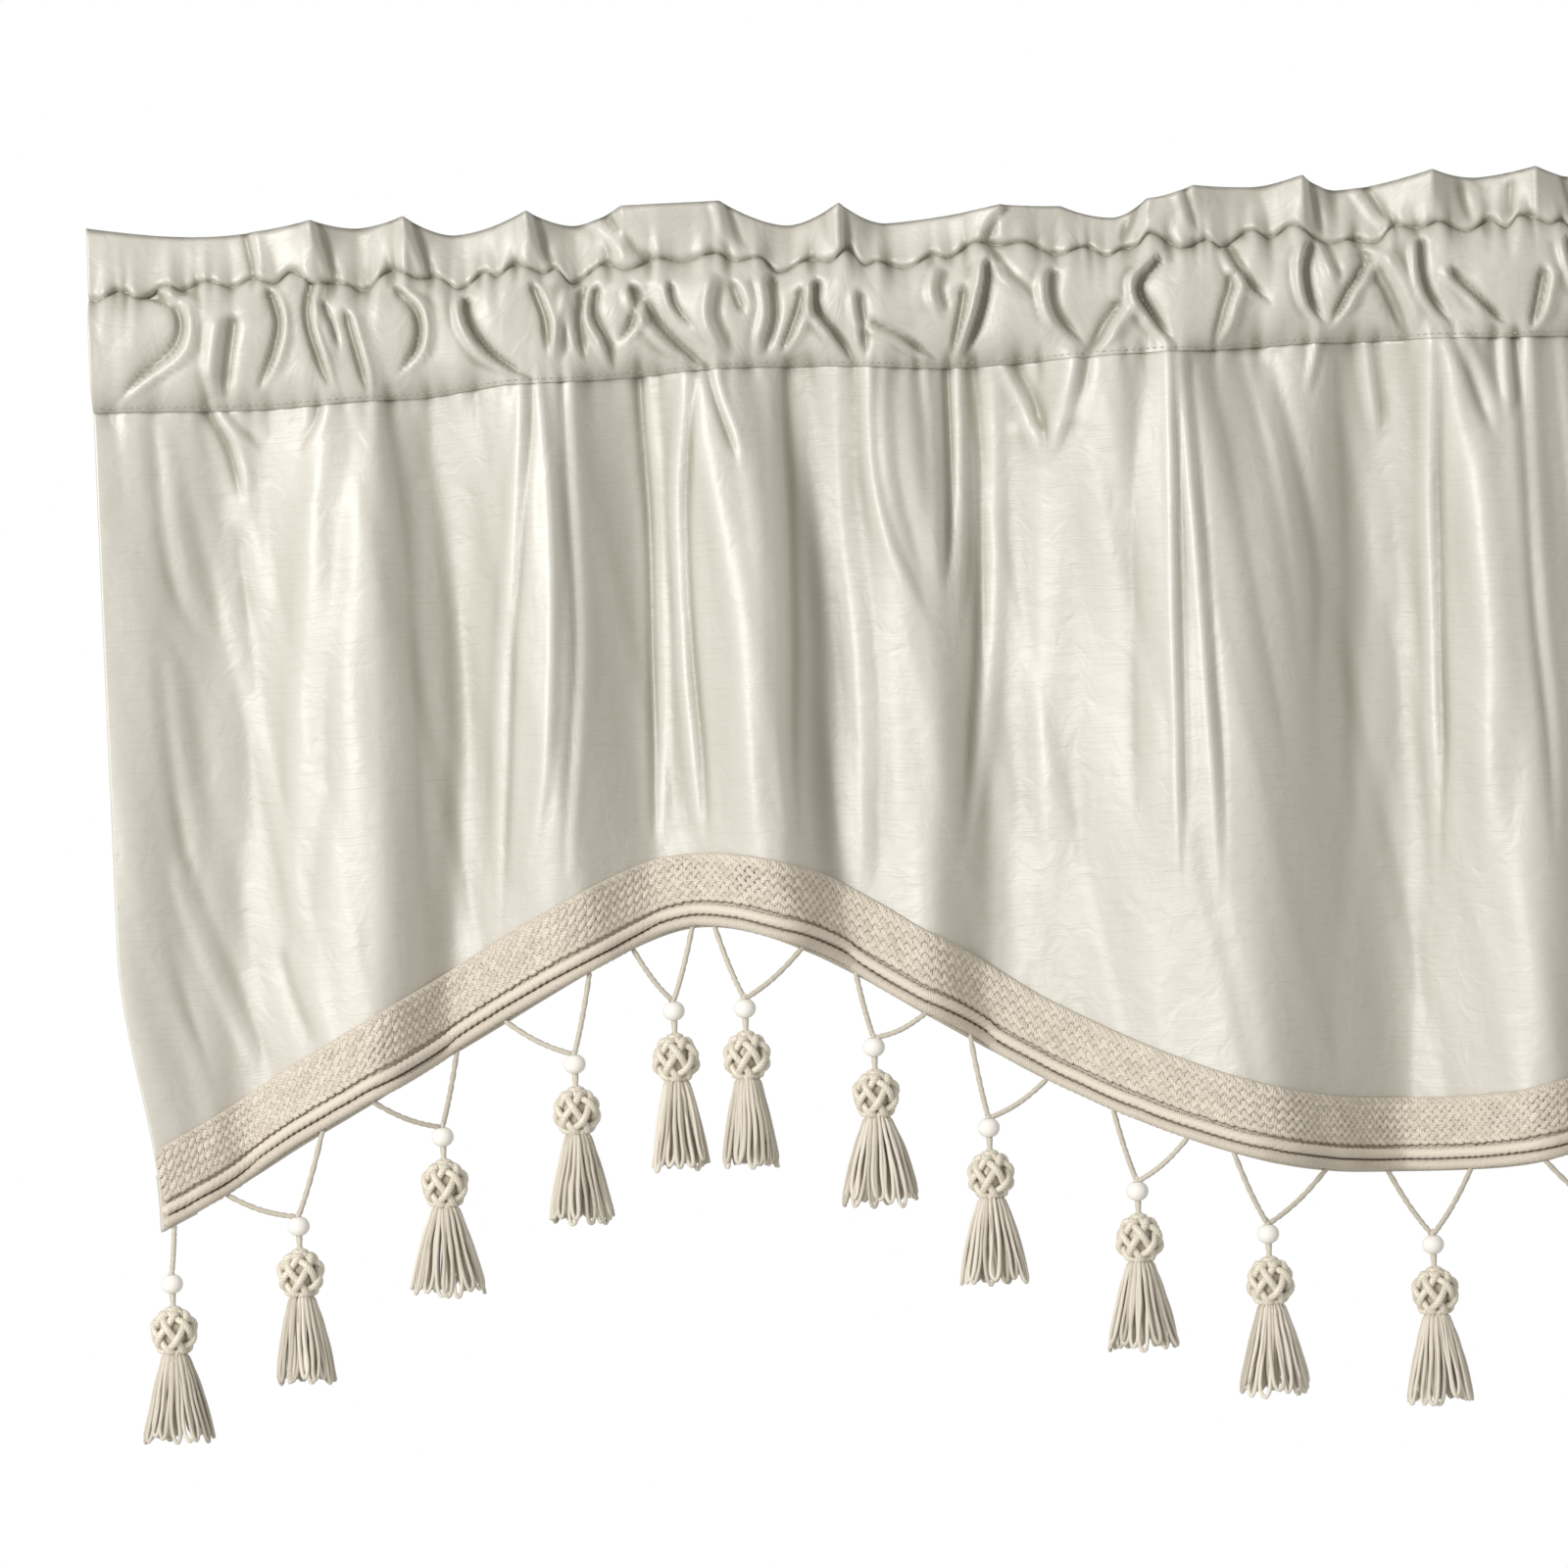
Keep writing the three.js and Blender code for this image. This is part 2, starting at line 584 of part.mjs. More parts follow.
// The knotted ball on its stem with the skirt's locks under it, around the vertical through a point.
// A lock starts as one triangle of the ball's foot and widens down to its tip.
function headSolid(centre, skirtWidth, seed) {
  const turnOf = (k) => (2 * Math.PI * (k + (seed % 3) / 3)) / LOCKS;
  const place = (turn, radius, up) => [
    centre.x + radius * Math.cos(turn),
    centre.y + radius * Math.sin(turn),
    centre.z + up,
  ];
  const ringAt = (radius, up, knob) =>
    Array.from({ length: LOCKS }, (_, k) =>
      place(turnOf(k), radius + (k % 2 ? knob : -knob), up),
    );
  const rings = BALL_RINGS.map(({ radius, up, knob }) => ringAt(radius, up, knob));
  const outerRoots = rings.push(ringAt(LOCK_ROOT_OUTER, -BALL_HALF_HEIGHT * ROOT_SHARE, 0)) - 1;
  const innerRoots = rings.push(ringAt(LOCK_ROOT_INNER, -BALL_HALF_HEIGHT, 0)) - 1;
  const points = rings.flat();
  const triangles = [];
  const ringIndex = (r, k) => r * LOCKS + ((k + LOCKS) % LOCKS);
  for (let r = 0; r < outerRoots; r++) {
    for (let k = 0; k < LOCKS; k++) {
      const [a, b] = [ringIndex(r, k), ringIndex(r, k + 1)];
      const [c, d] = [ringIndex(r + 1, k), ringIndex(r + 1, k + 1)];
      triangles.push([a, c, b], [b, c, d]);
    }
  }
  const top = points.push([centre.x, centre.y, centre.z + BALL_HALF_HEIGHT]) - 1;
  const foot = points.push([centre.x, centre.y, centre.z - BALL_HALF_HEIGHT]) - 1;
  for (let k = 0; k < LOCKS; k++) {
    const [outer, nextOuter] = [ringIndex(outerRoots, k), ringIndex(outerRoots, k + 1)];
    const [inner, nextInner] = [ringIndex(innerRoots, k), ringIndex(innerRoots, k + 1)];
    triangles.push([top, ringIndex(0, k), ringIndex(0, k + 1)]);
    triangles.push([foot, nextInner, inner], [nextOuter, inner, nextInner]);
    const root = [outer, inner, nextOuter];
    const tipRadius = skirtWidth / 2;
    const middle = turnOf(k + 0.5);
    const spread = (LOCK_WIDTH * Math.PI) / LOCKS;
    const down = -SKIRT_BELOW_BALL + LOCK_UNEVEN * Math.sin(LOCK_SHUFFLE * k + seed);
    const tip = [
      points.push(place(middle - spread, tipRadius, down)) - 1,
      points.push(place(middle, tipRadius - LOCK_DEPTH, down)) - 1,
      points.push(place(middle + spread, tipRadius, down)) - 1,
    ];
    for (let s = 0; s < 3; s++) {
      const t = (s + 1) % 3;
      triangles.push([root[s], root[t], tip[s]], [root[t], tip[t], tip[s]]);
    }
    triangles.push([tip[0], tip[1], tip[2]]);
  }
  return solidOf(geometryOf(points, triangles));
}

// The middle of the braid's flat under edge, which runs straight from one station to the next.
function braidUnderEdge(x) {
  const pitch = (2 * HALF_WIDTH) / PANEL_COLUMNS;
  const first = Math.floor((x + HALF_WIDTH) / pitch) * pitch - HALF_WIDTH;
  const [from, to] = [first, first + pitch].map((station) => {
    const drop = hemDrop(station);
    const y = -panelOut(station, drop) - GAP - BRAID_GROOVE / 2;
    return new THREE.Vector3(acrossAt(station, drop), y, -drop);
  });
  return { at: from.clone().lerp(to, (x - first) / pitch), along: to.sub(from).normalize() };
}

// Where a cord starts, just under the braid's corded edge.
function cordFoot(x) {
  const { at, along } = braidUnderEdge(x);
  at.z -= CORD_START + CORD_SLOPE_DROP * Math.abs(along.z / along.x);
  return at;
}

// A cord's path from its foot on the braid down to the bead, hanging a little slack.
function cordPath(foot, end) {
  const path = [];
  for (let k = 0; k <= CORD_STEPS; k++) {
    const t = k / CORD_STEPS;
    const point = foot.clone().lerp(end, t);
    point.z -= CORD_SAG * Math.sin(Math.PI * t);
    path.push(point);
  }
  return path;
}

// A tassel's own points: the feet of its cords, its bead and the middle of its ball.
function tasselPlaces({ bead, beadDrop, outerFoot, innerFoot }, side) {
  const feet = [outerFoot, innerFoot].filter((foot) => foot !== null);
  const starts = feet.map((foot) => cordFoot(side * foot));
  const y = starts.reduce((sum, start) => sum + start.y, 0) / starts.length;
  const beadAt = new THREE.Vector3(side * bead, y, -beadDrop);
  const ballAt = beadAt.clone().add(new THREE.Vector3(0, 0, -BEAD_TO_BALL));
  return { starts, beadAt, ballAt };
}

// The stretch where the cords run together through the bead and into the ball.
function stemSolid(join, ballAt) {
  const foot = ballAt.z + BALL_HALF_HEIGHT - STEM_SUNK;
  const length = join.z - foot;
  const stem = new THREE.CylinderGeometry(STEM_RADIUS, STEM_RADIUS, length, STEM_SIDES, 1);
  stem.rotateX(Math.PI / 2);
  stem.translate(join.x, join.y, foot + length / 2);
  return solidOf(mergedPoints(stem));
}

// One tassel: its cords, the stem through the bead, the ball and the skirt, all one piece of yarn.
function makeTassel(row, side, seed) {
  const { starts, beadAt, ballAt } = tasselPlaces(row, side);
  const join = beadAt.clone().add(new THREE.Vector3(0, 0, STEM_ABOVE_BEAD));
  let solid = headSolid(ballAt, row.skirt, seed).add(stemSolid(join, ballAt));
  const cordEnd = join.clone().add(new THREE.Vector3(0, 0, -CORD_RADIUS));
  for (const start of starts) {
    solid = solid.add(cordSolid(cordPath(start, cordEnd), CORD_RADIUS));
  }
  return geometryFrom(solid);
}

// A geometry whose equal points are one point.
function mergedPoints(geometry) {
  const position = geometry.getAttribute("position");
  const places = new Map();
  const points = [];
  const slot = [];
  for (let k = 0; k < position.count; k++) {
    const point = [position.getX(k), position.getY(k), position.getZ(k)];
    const key = point.map((value) => Math.round(value * 1000)).join(",");
    if (!places.has(key)) places.set(key, points.push(point) - 1);
    slot.push(places.get(key));
  }
  const triangles = [];
  for (let k = 0; k < geometry.index.count; k += 3) {
    triangles.push([0, 1, 2].map((c) => slot[geometry.index.getX(k + c)]));
  }
  return geometryOf(points, triangles);
}

// A round bead with a hole for the cord.
function makeBead(row, side) {
  const { beadAt } = tasselPlaces(row, side);
  const profile = [
    new THREE.Vector2(BEAD_HOLE, -BEAD_HALF_HEIGHT),
    new THREE.Vector2(BEAD_SHOULDER, -BEAD_SHOULDER_UP),
    new THREE.Vector2(BEAD_RADIUS, 0),
    new THREE.Vector2(BEAD_SHOULDER, BEAD_SHOULDER_UP),
    new THREE.Vector2(BEAD_HOLE, BEAD_HALF_HEIGHT),
    new THREE.Vector2(BEAD_HOLE, -BEAD_HALF_HEIGHT),
  ];
  const ring = new THREE.LatheGeometry(profile, BEAD_SIDES);
  ring.rotateX(Math.PI / 2);
  ring.translate(beadAt.x, beadAt.y, beadAt.z);
  return mergedPoints(ring);
}

const valance = new THREE.Group();

function addPiece(name, geometry, finish) {
  const mesh = new THREE.Mesh(geometry, new THREE.MeshStandardMaterial(finish));
  mesh.name = name;
  valance.add(mesh);
}

addPiece("heading", makeHeading(), SILK);
addPiece("panel", makePanel(), SILK);
addPiece("braid", makeBraid(), BRAID);

// The tassels are numbered from the left corner to the right one.
const hung = [
  ...TASSELS.map((row) => ({ row, side: -1 })),
  { row: MIDDLE_TASSEL, side: 1 },
  ...[...TASSELS].reverse().map((row) => ({ row, side: 1 })),
];
hung.forEach(({ row, side }, k) => {
  const number = String(k + 1).padStart(2, "0");
  addPiece(`tassel_${number}`, makeTassel(row, side, k), YARN);
  addPiece(`bead_${number}`, makeBead(row, side), PEARL);
});

export default valance;
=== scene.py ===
"""Tassel valance: a gathered silk heading and panel, a plaited braid, corded tassels and pearls.

The shapes are worked out in millimetres in the frame's own axes: x runs across, a drop is how far a
place lies below the heading's top edge, and the front faces -Y. Meshes are stored in metres.
"""
import math
from typing import NamedTuple

import bpy
import numpy as np
from bpy.props import FloatProperty, FloatVectorProperty, IntProperty, PointerProperty
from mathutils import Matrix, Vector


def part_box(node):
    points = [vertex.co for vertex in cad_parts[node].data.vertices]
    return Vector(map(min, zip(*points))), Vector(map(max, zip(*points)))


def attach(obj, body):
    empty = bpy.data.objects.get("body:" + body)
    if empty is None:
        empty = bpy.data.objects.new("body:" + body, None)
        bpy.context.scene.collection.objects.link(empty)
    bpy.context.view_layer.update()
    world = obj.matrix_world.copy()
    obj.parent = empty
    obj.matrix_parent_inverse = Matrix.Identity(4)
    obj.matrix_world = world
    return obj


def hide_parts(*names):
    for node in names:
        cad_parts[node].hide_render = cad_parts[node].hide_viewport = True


bl_info = {
    "name": "Tassel Valance",
    "version": (1, 0, 0),
    "blender": (4, 5, 0),
    "location": "3D View > Sidebar > Valance",
    "description": "A gathered silk valance with a rod pocket, a plaited braid and corded tassels",
    "category": "Object",
}

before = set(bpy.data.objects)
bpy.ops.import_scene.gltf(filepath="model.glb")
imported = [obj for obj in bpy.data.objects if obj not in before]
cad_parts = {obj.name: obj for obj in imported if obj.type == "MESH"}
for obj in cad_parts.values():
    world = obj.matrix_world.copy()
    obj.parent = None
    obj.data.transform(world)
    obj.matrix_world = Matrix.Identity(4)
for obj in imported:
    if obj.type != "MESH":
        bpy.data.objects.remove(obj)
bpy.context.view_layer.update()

MM = 0.001
HALF_WIDTH = 594
TASSELS = 21
TOWARDS_ROOM = np.array([0.0, -1.0, 0.0])

# The panel's side edges curl in towards the corners.
EDGE_CURL = 15
EDGE_CURL_FROM = 330
EDGE_CURL_TO = 452
EDGE_CURL_REACH = 90

# The heading: a ruffle over the stitch line, and the rod pocket from there down to the seam.
STITCH_DROP = 29
STITCH_ZIGZAG = 3.0
RUFFLE_HALF_GAP = 0.8
RUFFLE_LEAN = 1.25
RUFFLE_FOOT_LEAN = 0.25
RUFFLE_LAP = 6
POCKET_FRONT = 12.5
POCKET_BACK = 13
SEAM_GAP = 0.3
SEAM_LAP = 1.0
SEAM_STEP = 0.9
SEAM_ALLOWANCE = 3.6
CORNER_DROP = 1.5

# Stitches: their radius, the way from one to the next in stitch lengths, and the share of the way
# down the pocket at which the seam's row runs.
STITCH_RADIUS = 0.28
STITCH_PITCH = 1.35
SEAM_STITCHES_AT = 0.965

# Creases: the way in which one starts, the share of its length in which it ends, how much deeper
# the pocket's are, the room left behind them, and how far the middle part, which has no mirror
# image, reaches to either side.
CREASE_START = 5
CREASE_END = 0.35
POCKET_CREASED = 1.6
POCKET_CREASE_ROOM = 6.2
PANEL_CREASE_ROOM = 3.0
MIDDLE_REACH = 125

# Grids: rows of the heading's parts, and how many fine columns there are to a coarse one.
POCKET_BACK_ROWS = 12
POCKET_FRONT_ROWS = 36
RUFFLE_ROWS = 11
HEADING_COLUMNS = 270
HEADING_STEP = 4
PANEL_COLUMNS = 780
PANEL_STEP = 3

# Where the panel's folds have their middle and their low place.
MIDDLE_DROP = 232
LOW_DROP = 400

# The braid: its width, where the plait on it starts and how wide that is, how high its tape, plait
# and upper cord lie, how far down that cord runs, and for each rope its distance below the upper
# edge, its tone and its twist.
BRAID_WIDTH = 34
PLAIT_TOP = 1.4
PLAIT_WIDTH = 19.6
TAPE_HEIGHT = 0.9
PLAIT_HEIGHT = 1.75
UPPER_CORD_HEIGHT = 1.2
UPPER_CORD_DOWN = 0.9
ROPES = ((25.6, 0.6, 11), (30.9, -0.25, -11))

# A tassel, from the pearl's middle: the cords' join above it and the ball below it. Then how far
# the cords sag, how long the skirt's outer and inner loops hang, how many inner ones there are, and
# the skirt's radius at its top. The ball's core and collar are profiles of radius and height.
JOIN_ABOVE = 6.2
BALL_BELOW = 22.0
CORD_SAG = 2.2
SKIRT_DROP = 43.0
INNER_DROP = 41
INNER_LOOPS = 8
NECK_RADIUS = 4.2
BALL_CORE = ((0.4, -8.6), (4.4, -7.6), (6.4, -4), (7.2, 0), (6.4, 4.2), (4.4, 7.8), (0.4, 9.6))
BALL_COLLAR = ((1.6, 8.4), (3.4, 8.6), (4.2, 9.8), (3.6, 11.2), (1.8, 12.0), (0.3, 12.1))
PEARL_RADIUS = 5.0
PEARL_HALF_HEIGHT = 4.6

# The stage in metres: the middle of the view, the lamp's place, size and aim, and the floor.
VIEW_CENTRE = (-0.2873, -0.2668)
LAMP_AT = (-2.85, -2.9, 0.65)
LAMP_SIZE = (1.2, 2.1)
LAMP_AIM = (-0.1, 0, -0.25)
FLOOR_RADIUS = 0.9
FLOOR_DROP = 0.82

SEAM = {
    "at": (-594, -520, -450, -400, -290, -200, -100, -30, 60, 200, 400, 594),
    "drop": (83.5, 85, 83, 79, 75.5, 79.5, 77, 75.5, 77, 79, 78, 83.5),
}
HEM = {
    "at": (0, 52, 110, 172, 226, 284, 326, 362, 441, 528, 594),
    "drop": (457, 452.5, 436, 408, 375.5, 341.5, 330.5, 340.5, 382.5, 429, 458),
}


class Ruffle(NamedTuple):
    """A fold of the ruffle: its place, how far its tip leans out, how low the tip dips, and how much
    lower the stitch line runs there."""

    at: float
    out: float
    dip: float
    stitch: float


class Fold(NamedTuple):
    """A fold of the panel: its place at the seam, halfway down and low down, and how far it stands
    out there."""

    seam_at: float
    middle_at: float
    low_at: float
    seam_out: float
    middle_out: float
    low_out: float


class ShortFold(NamedTuple):
    """A fold that starts at the seam and dies out: its place, how far it leans on its way down, its
    half width, how far it stands out and the drop where it ends."""

    at: float
    lean: float
    half_width: float
    out: float
    ends: float


class Crease(NamedTuple):
    """A pressed line in the cloth: the drops where it starts and ends, its place across at even
    steps between them, its depth (below 0 for a ridge), its half width and the side of its ridge."""

    top: float
    foot: float
    at: tuple
    depth: float
    width: float
    ridge: int = 1


class Hanger(NamedTuple):
    """A tassel's own sizes: the feet of its outer and inner cord on the braid, and its skirt."""

    outer: float
    inner: float
    skirt: float


RUFFLE_LEFT = (
    Ruffle(-594, 0, 0, 3),
    Ruffle(-538, -4, 6, -1),
    Ruffle(-491, 8, 1.5, -2),
    Ruffle(-471, -5, 5, 4),
    Ruffle(-449, 8, 1.5, -3),
    Ruffle(-427, -6, 10, 4),
    Ruffle(-393, 8, 1.5, -3),
    Ruffle(-372, -6, 8, 4),
    Ruffle(-350, 8, 1, -2),
    Ruffle(-305, 6, 0.5, -3),
    Ruffle(-274, -6, 12, 3),
    Ruffle(-251, 9, 4, -2),
    Ruffle(-230, -6, 13, 4),
    Ruffle(-178, 8, 8, -4),
    Ruffle(-150, -2, 9, 1),
    Ruffle(-126, -6, 15, 3),
    Ruffle(-111, 6, 8, -3),
)
RUFFLE_MIDDLE = (
    Ruffle(-90, 8, 3, 2),
    Ruffle(-62, -4, 4, -3),
    Ruffle(-40, 8, 0.5, -4),
    Ruffle(-24, -6, 7, 3),
    Ruffle(19, 8, 0.5, -4),
    Ruffle(40, -5, 4, -2),
    Ruffle(66, 7, 1, -4),
    Ruffle(88, -5, 6, 2),
)
FOLDS_LEFT = (
    Fold(-594, -594, -594, 1, 4, 2),
    Fold(-532, -537, -542, -3, -15, -14),
    Fold(-467, -471, -479, 4, 15, 13),
    Fold(-450, -435, -444, -6, -15, -11),
    Fold(-390, -390, -382, 9, 17, 7),
    Fold(-347, -345, -350, -8, -15, -5),
    Fold(-312, -295, -286, 6, 18, 9),
    Fold(-274, -266, -257, -6, -15, -8),
    Fold(-243, -219, -228, 6, 1, -2),
    Fold(-188, -192, -196, -7, -18, -20),
)
FOLDS_MIDDLE = (
    Fold(-100, -82, -79, 9, 26, 25),
    Fold(-20, -10, -8, -10, -24, -22),
    Fold(27, 48, 52, 12, 13, 13),
    Fold(84, 88, 90, -6, -9, -9),
    Fold(120, 126, 128, 8, 18, 18),
)
SHORT_FOLDS = (
    ShortFold(-143, 8, 26, 11, 210),
    ShortFold(-72, 14, 16, -12, 190),
    ShortFold(-38, 0, 15, 6, 200),
    ShortFold(-214, 0, 12, -5, 300),
    ShortFold(40, 5, 10, -6, 170),
)

# Creases of the ruffle, from its top edge to the stitch line.
RUFFLE_CREASES = (
    Crease(-6, 30, (-524, -521, -518), 2.4, 5),
    Crease(-4, 34, (-489, -484, -479), 2.6, 4, -1),
    Crease(-4, 34, (-446, -441, -436), 3.0, 4, -1),
    Crease(-4, 34, (-390, -386, -380), 3.0, 4, -1),
    Crease(-4, 32, (-362, -349, -336), 3.2, 6, -1),
    Crease(-4, 26, (-303, -299, -294), 2.4, 5, -1),
    Crease(-2, 31, (-249, -248, -246), 3.0, 5, -1),
    Crease(6, 27, (-174, -180, -186), 2.6, 4, -1),
    Crease(4, 28, (-113, -118, -124), 2.6, 4),
    Crease(0, 27, (-94, -91, -88), 2.6, 4, -1),
    Crease(-4, 31, (-37, -34, -31), 2.6, 4),
    Crease(0, 32, (-12, -4, 7), 3.2, 5, -1),
    Crease(4, 28, (32, 34, 37), 1.8, 5),
    Crease(4, 28, (56, 55, 54), 1.8, 5, -1),
    Crease(0, 30, (79, 82, 86), 2.4, 5),
    Crease(4, 30, (104, 101, 99), 2.0, 4, -1),
)

# Creases that the gathers press into the pocket, many of them bent like an S or a drop.
POCKET_CREASES = (
    Crease(26, 84, (-570, -554, -555, -572, -586), 3.2, 5),
    Crease(42, 84, (-528, -531, -534), 3.0, 7, -1),
    Crease(30, 80, (-512, -508, -512, -520), 3.4, 4),
    Crease(25, 82, (-492, -495, -491, -484), 3.6, 4),
    Crease(37, 63, (-487, -483, -480), 2.0, 3, -1),
    Crease(42, 84, (-477, -473, -468), 2.8, 4),
    Crease(32, 76, (-454, -445, -446, -457), 3.8, 4),
    Crease(38, 82, (-422, -420, -409, -389), 4.2, 4, -1),
    Crease(33, 68, (-392, -387, -386), 3.0, 4),
    Crease(36, 74, (-376, -381, -384), -1.8, 5),
    Crease(35, 73, (-368, -371, -369), 2.8, 4, -1),
    Crease(35, 78, (-362, -364, -358, -356), 3.4, 4, -1),
    Crease(35, 66, (-347, -346, -356), 3.4, 4),
    Crease(36, 80, (-344, -338, -326, -310), 4.0, 5, -1),
    Crease(35, 60, (-329, -327, -318), 2.4, 3, -1),
    Crease(33, 75, (-311, -314, -305), -2.2, 6),
    Crease(36, 54, (-301, -297), 2.4, 5),
    Crease(34, 75, (-283, -282, -289), 3.2, 5, -1),
    Crease(40, 74, (-269, -274, -282), 3.2, 4),
    Crease(37, 78, (-262, -263, -254, -247), 4.2, 4, -1),
    Crease(43, 78, (-243, -242, -241), 2.4, 4, -1),
    Crease(56, 79, (-239, -222, -208), 3.0, 4, -1),
    Crease(33, 60, (-209, -211, -207), -2.0, 5),
    Crease(43, 78, (-196, -199, -203), 2.6, 4),
    Crease(31, 80, (-184, -188, -199), 4.2, 4, -1),
    Crease(26, 54, (-186, -180, -167), -2.0, 5),
    Crease(37, 76, (-155, -154, -141), 3.4, 5, -1),
    Crease(52, 79, (-126, -134, -141), 3.2, 6),
    Crease(33, 78, (-106, -116, -109, -100), 4.4, 4, -1),
    Crease(42, 78, (-74, -79, -84), 3.0, 5),
    Crease(29, 61, (-74, -68, -55), 3.2, 4, -1),
    Crease(29, 73, (-37, -40, -38, -31), 3.8, 4, -1),
    Crease(40, 71, (-14, -23, -31), 3.8, 4),
    Crease(28, 54, (-34, -27), -1.8, 4),
    Crease(34, 77, (-14, -4, 4), 3.4, 8),
    Crease(30, 75, (13, 14, 26), 3.4, 4, -1),
    Crease(44, 76, (26, 38, 53), 3.2, 4, -1),
    Crease(46, 78, (67, 64, 60), 3.4, 5),
    Crease(32, 74, (80, 84, 96), 3.6, 4, -1),
    Crease(36, 78, (112, 106, 108, 118), 3.8, 4),
)

# Creases of the panel over its main folds: dark lines are troughs, bright ones ridges.
PANEL_CREASES = (
    Crease(78, 200, (-576, -571, -568, -562, -548), 2.6, 9),
    Crease(198, 310, (-572, -568, -560), 2.2, 8),
    Crease(80, 130, (-543, -534, -529), 2.8, 5),
    Crease(84, 108, (-538, -520), -2.0, 4),
    Crease(138, 190, (-532, -528), 1.5, 8),
    Crease(82, 108, (-491, -502), 1.8, 4),
    Crease(76, 340, (-488, -497, -505, -510, -514), -3.0, 13),
    Crease(77, 320, (-460, -455, -453, -454, -455), 2.2, 10),
    Crease(74, 340, (-399, -405, -413, -418, -422), -2.4, 5),
    Crease(74, 320, (-391, -388, -390, -396, -410), -2.0, 5),
    Crease(74, 330, (-381, -380, -380, -386, -390), 2.4, 5),
    Crease(74, 330, (-346, -344, -345, -347, -349), 2.2, 5),
    Crease(72, 330, (-325, -331, -331, -328, -325), -2.8, 5),
    Crease(76, 310, (-321, -311, -303, -301), -2.2, 12),
    Crease(72, 124, (-314, -301), 2.8, 4),
    Crease(70, 330, (-279, -278, -279, -282, -280), 2.4, 7, -1),
    Crease(72, 340, (-256, -256, -253, -252, -255), -2.4, 10),
    Crease(74, 216, (-240, -242, -241, -235, -224, -211), -2.0, 4),
    Crease(74, 198, (-231, -231, -229, -223, -214), 2.8, 9),
    Crease(74, 184, (-214, -213, -213, -214), -2.8, 8),
    Crease(74, 194, (-205, -205, -207, -211), 2.2, 3.5),
    Crease(74, 214, (-199, -200, -202, -207), -1.8, 4),
    Crease(74, 320, (-192, -192, -195, -202, -210), 2.6, 7),
    Crease(73, 128, (-181, -171, -163), -2.8, 6),
    Crease(73, 128, (-146, -154, -161), -2.8, 6),
    Crease(70, 116, (-164, -163), 2.4, 12),
    Crease(106, 350, (-164, -167, -169, -166), -2.4, 16),
    Crease(73, 310, (-120, -124, -127, -129), 2.4, 12),
    Crease(72, 340, (-105, -107, -109, -110, -112), -2.6, 4.5),
    Crease(76, 340, (-100, -98, -96, -94, -93), -2.6, 5),
    Crease(72, 290, (-87, -79, -72, -64, -56), 2.8, 12),
    Crease(74, 240, (-67, -57, -50, -48), -2.8, 9),
    Crease(70, 102, (-36, -42), -2.2, 3.5),
    Crease(72, 320, (-26, -25, -27, -28), 2.2, 14),
    Crease(70, 124, (-14, -9), -2.6, 5),
    Crease(70, 340, (14, 12, 11, 10, 8), -2.6, 5),
    Crease(74, 340, (24, 29, 34, 32, 29), -2.6, 14),
    Crease(71, 126, (24, 33, 41), 3.2, 6),
    Crease(71, 118, (48, 49), -2.6, 5),
    Crease(74, 330, (55, 55, 56, 60, 61), 2.4, 6),
    Crease(72, 240, (76, 80, 84), -2.2, 7),
    Crease(73, 320, (100, 97, 96, 98), 2.4, 6),
    Crease(74, 300, (118, 116, 117), -2.2, 8),
    Crease(290, 420, (-566, -548, -524), -1.8, 8),
    Crease(280, 400, (-578, -570, -556), 1.8, 7, -1),
    Crease(330, 430, (-520, -505, -488), 1.6, 8),
)

HANGERS = (
    Hanger(588.5, None, 35),
    Hanger(562.5, 502.5, 30),
    Hanger(480.5, 441.5, 38),
    Hanger(419, 379.5, 33),
    Hanger(361, 331, 29),
    Hanger(321, 282.5, 29),
    Hanger(259, 226.5, 38),
    Hanger(209, 171.5, 34),
    Hanger(143, 110, 36),
    Hanger(91.5, 49, 36),
    Hanger(20.5, -20.5, 33),
)


# Settings that a user would change

class ClothSettings(bpy.types.PropertyGroup):
    """Sizes and colours of the silk, with the painted shade of its creases and the painted highlight
    of its ridges.
    """

    thickness: FloatProperty(
        name="Thickness", description="How thick the silk is", default=0.0007, unit="LENGTH")
    hem_width: FloatProperty(
        name="Side Hem", description="Width of the cloth folded behind each side edge",
        default=0.018, unit="LENGTH")
    hem_height: FloatProperty(
        name="Bottom Hem", description="Height of the cloth folded behind the lower edge",
        default=0.026, unit="LENGTH")
    stitch_length: FloatProperty(
        name="Stitch Length", description="Length of one sewing stitch", default=0.0026,
        unit="LENGTH")
    light: FloatVectorProperty(
        name="Silk", description="Colour of the silk where it faces the light", size=3,
        subtype="COLOR", default=(0.60, 0.58, 0.52))
    shade: FloatVectorProperty(
        name="Silk Shade", description="Colour of the silk's thicker threads", size=3,
        subtype="COLOR", default=(0.50, 0.475, 0.40))
    # Painted shade: the colour that the creases are darkened towards, standing in for the shade that
    # falls in them.
    crease: FloatVectorProperty(
        name="Crease", description="Colour of the silk down in its creases", size=3,
        subtype="COLOR", default=(0.27, 0.25, 0.185))
    # Painted highlight: the colour that the sharpest ridges are lightened towards, where the light
    # catches them.
    ridge: FloatVectorProperty(
        name="Ridge", description="Colour of the silk along its sharpest ridges", size=3,
        subtype="COLOR", default=(0.78, 0.76, 0.71))


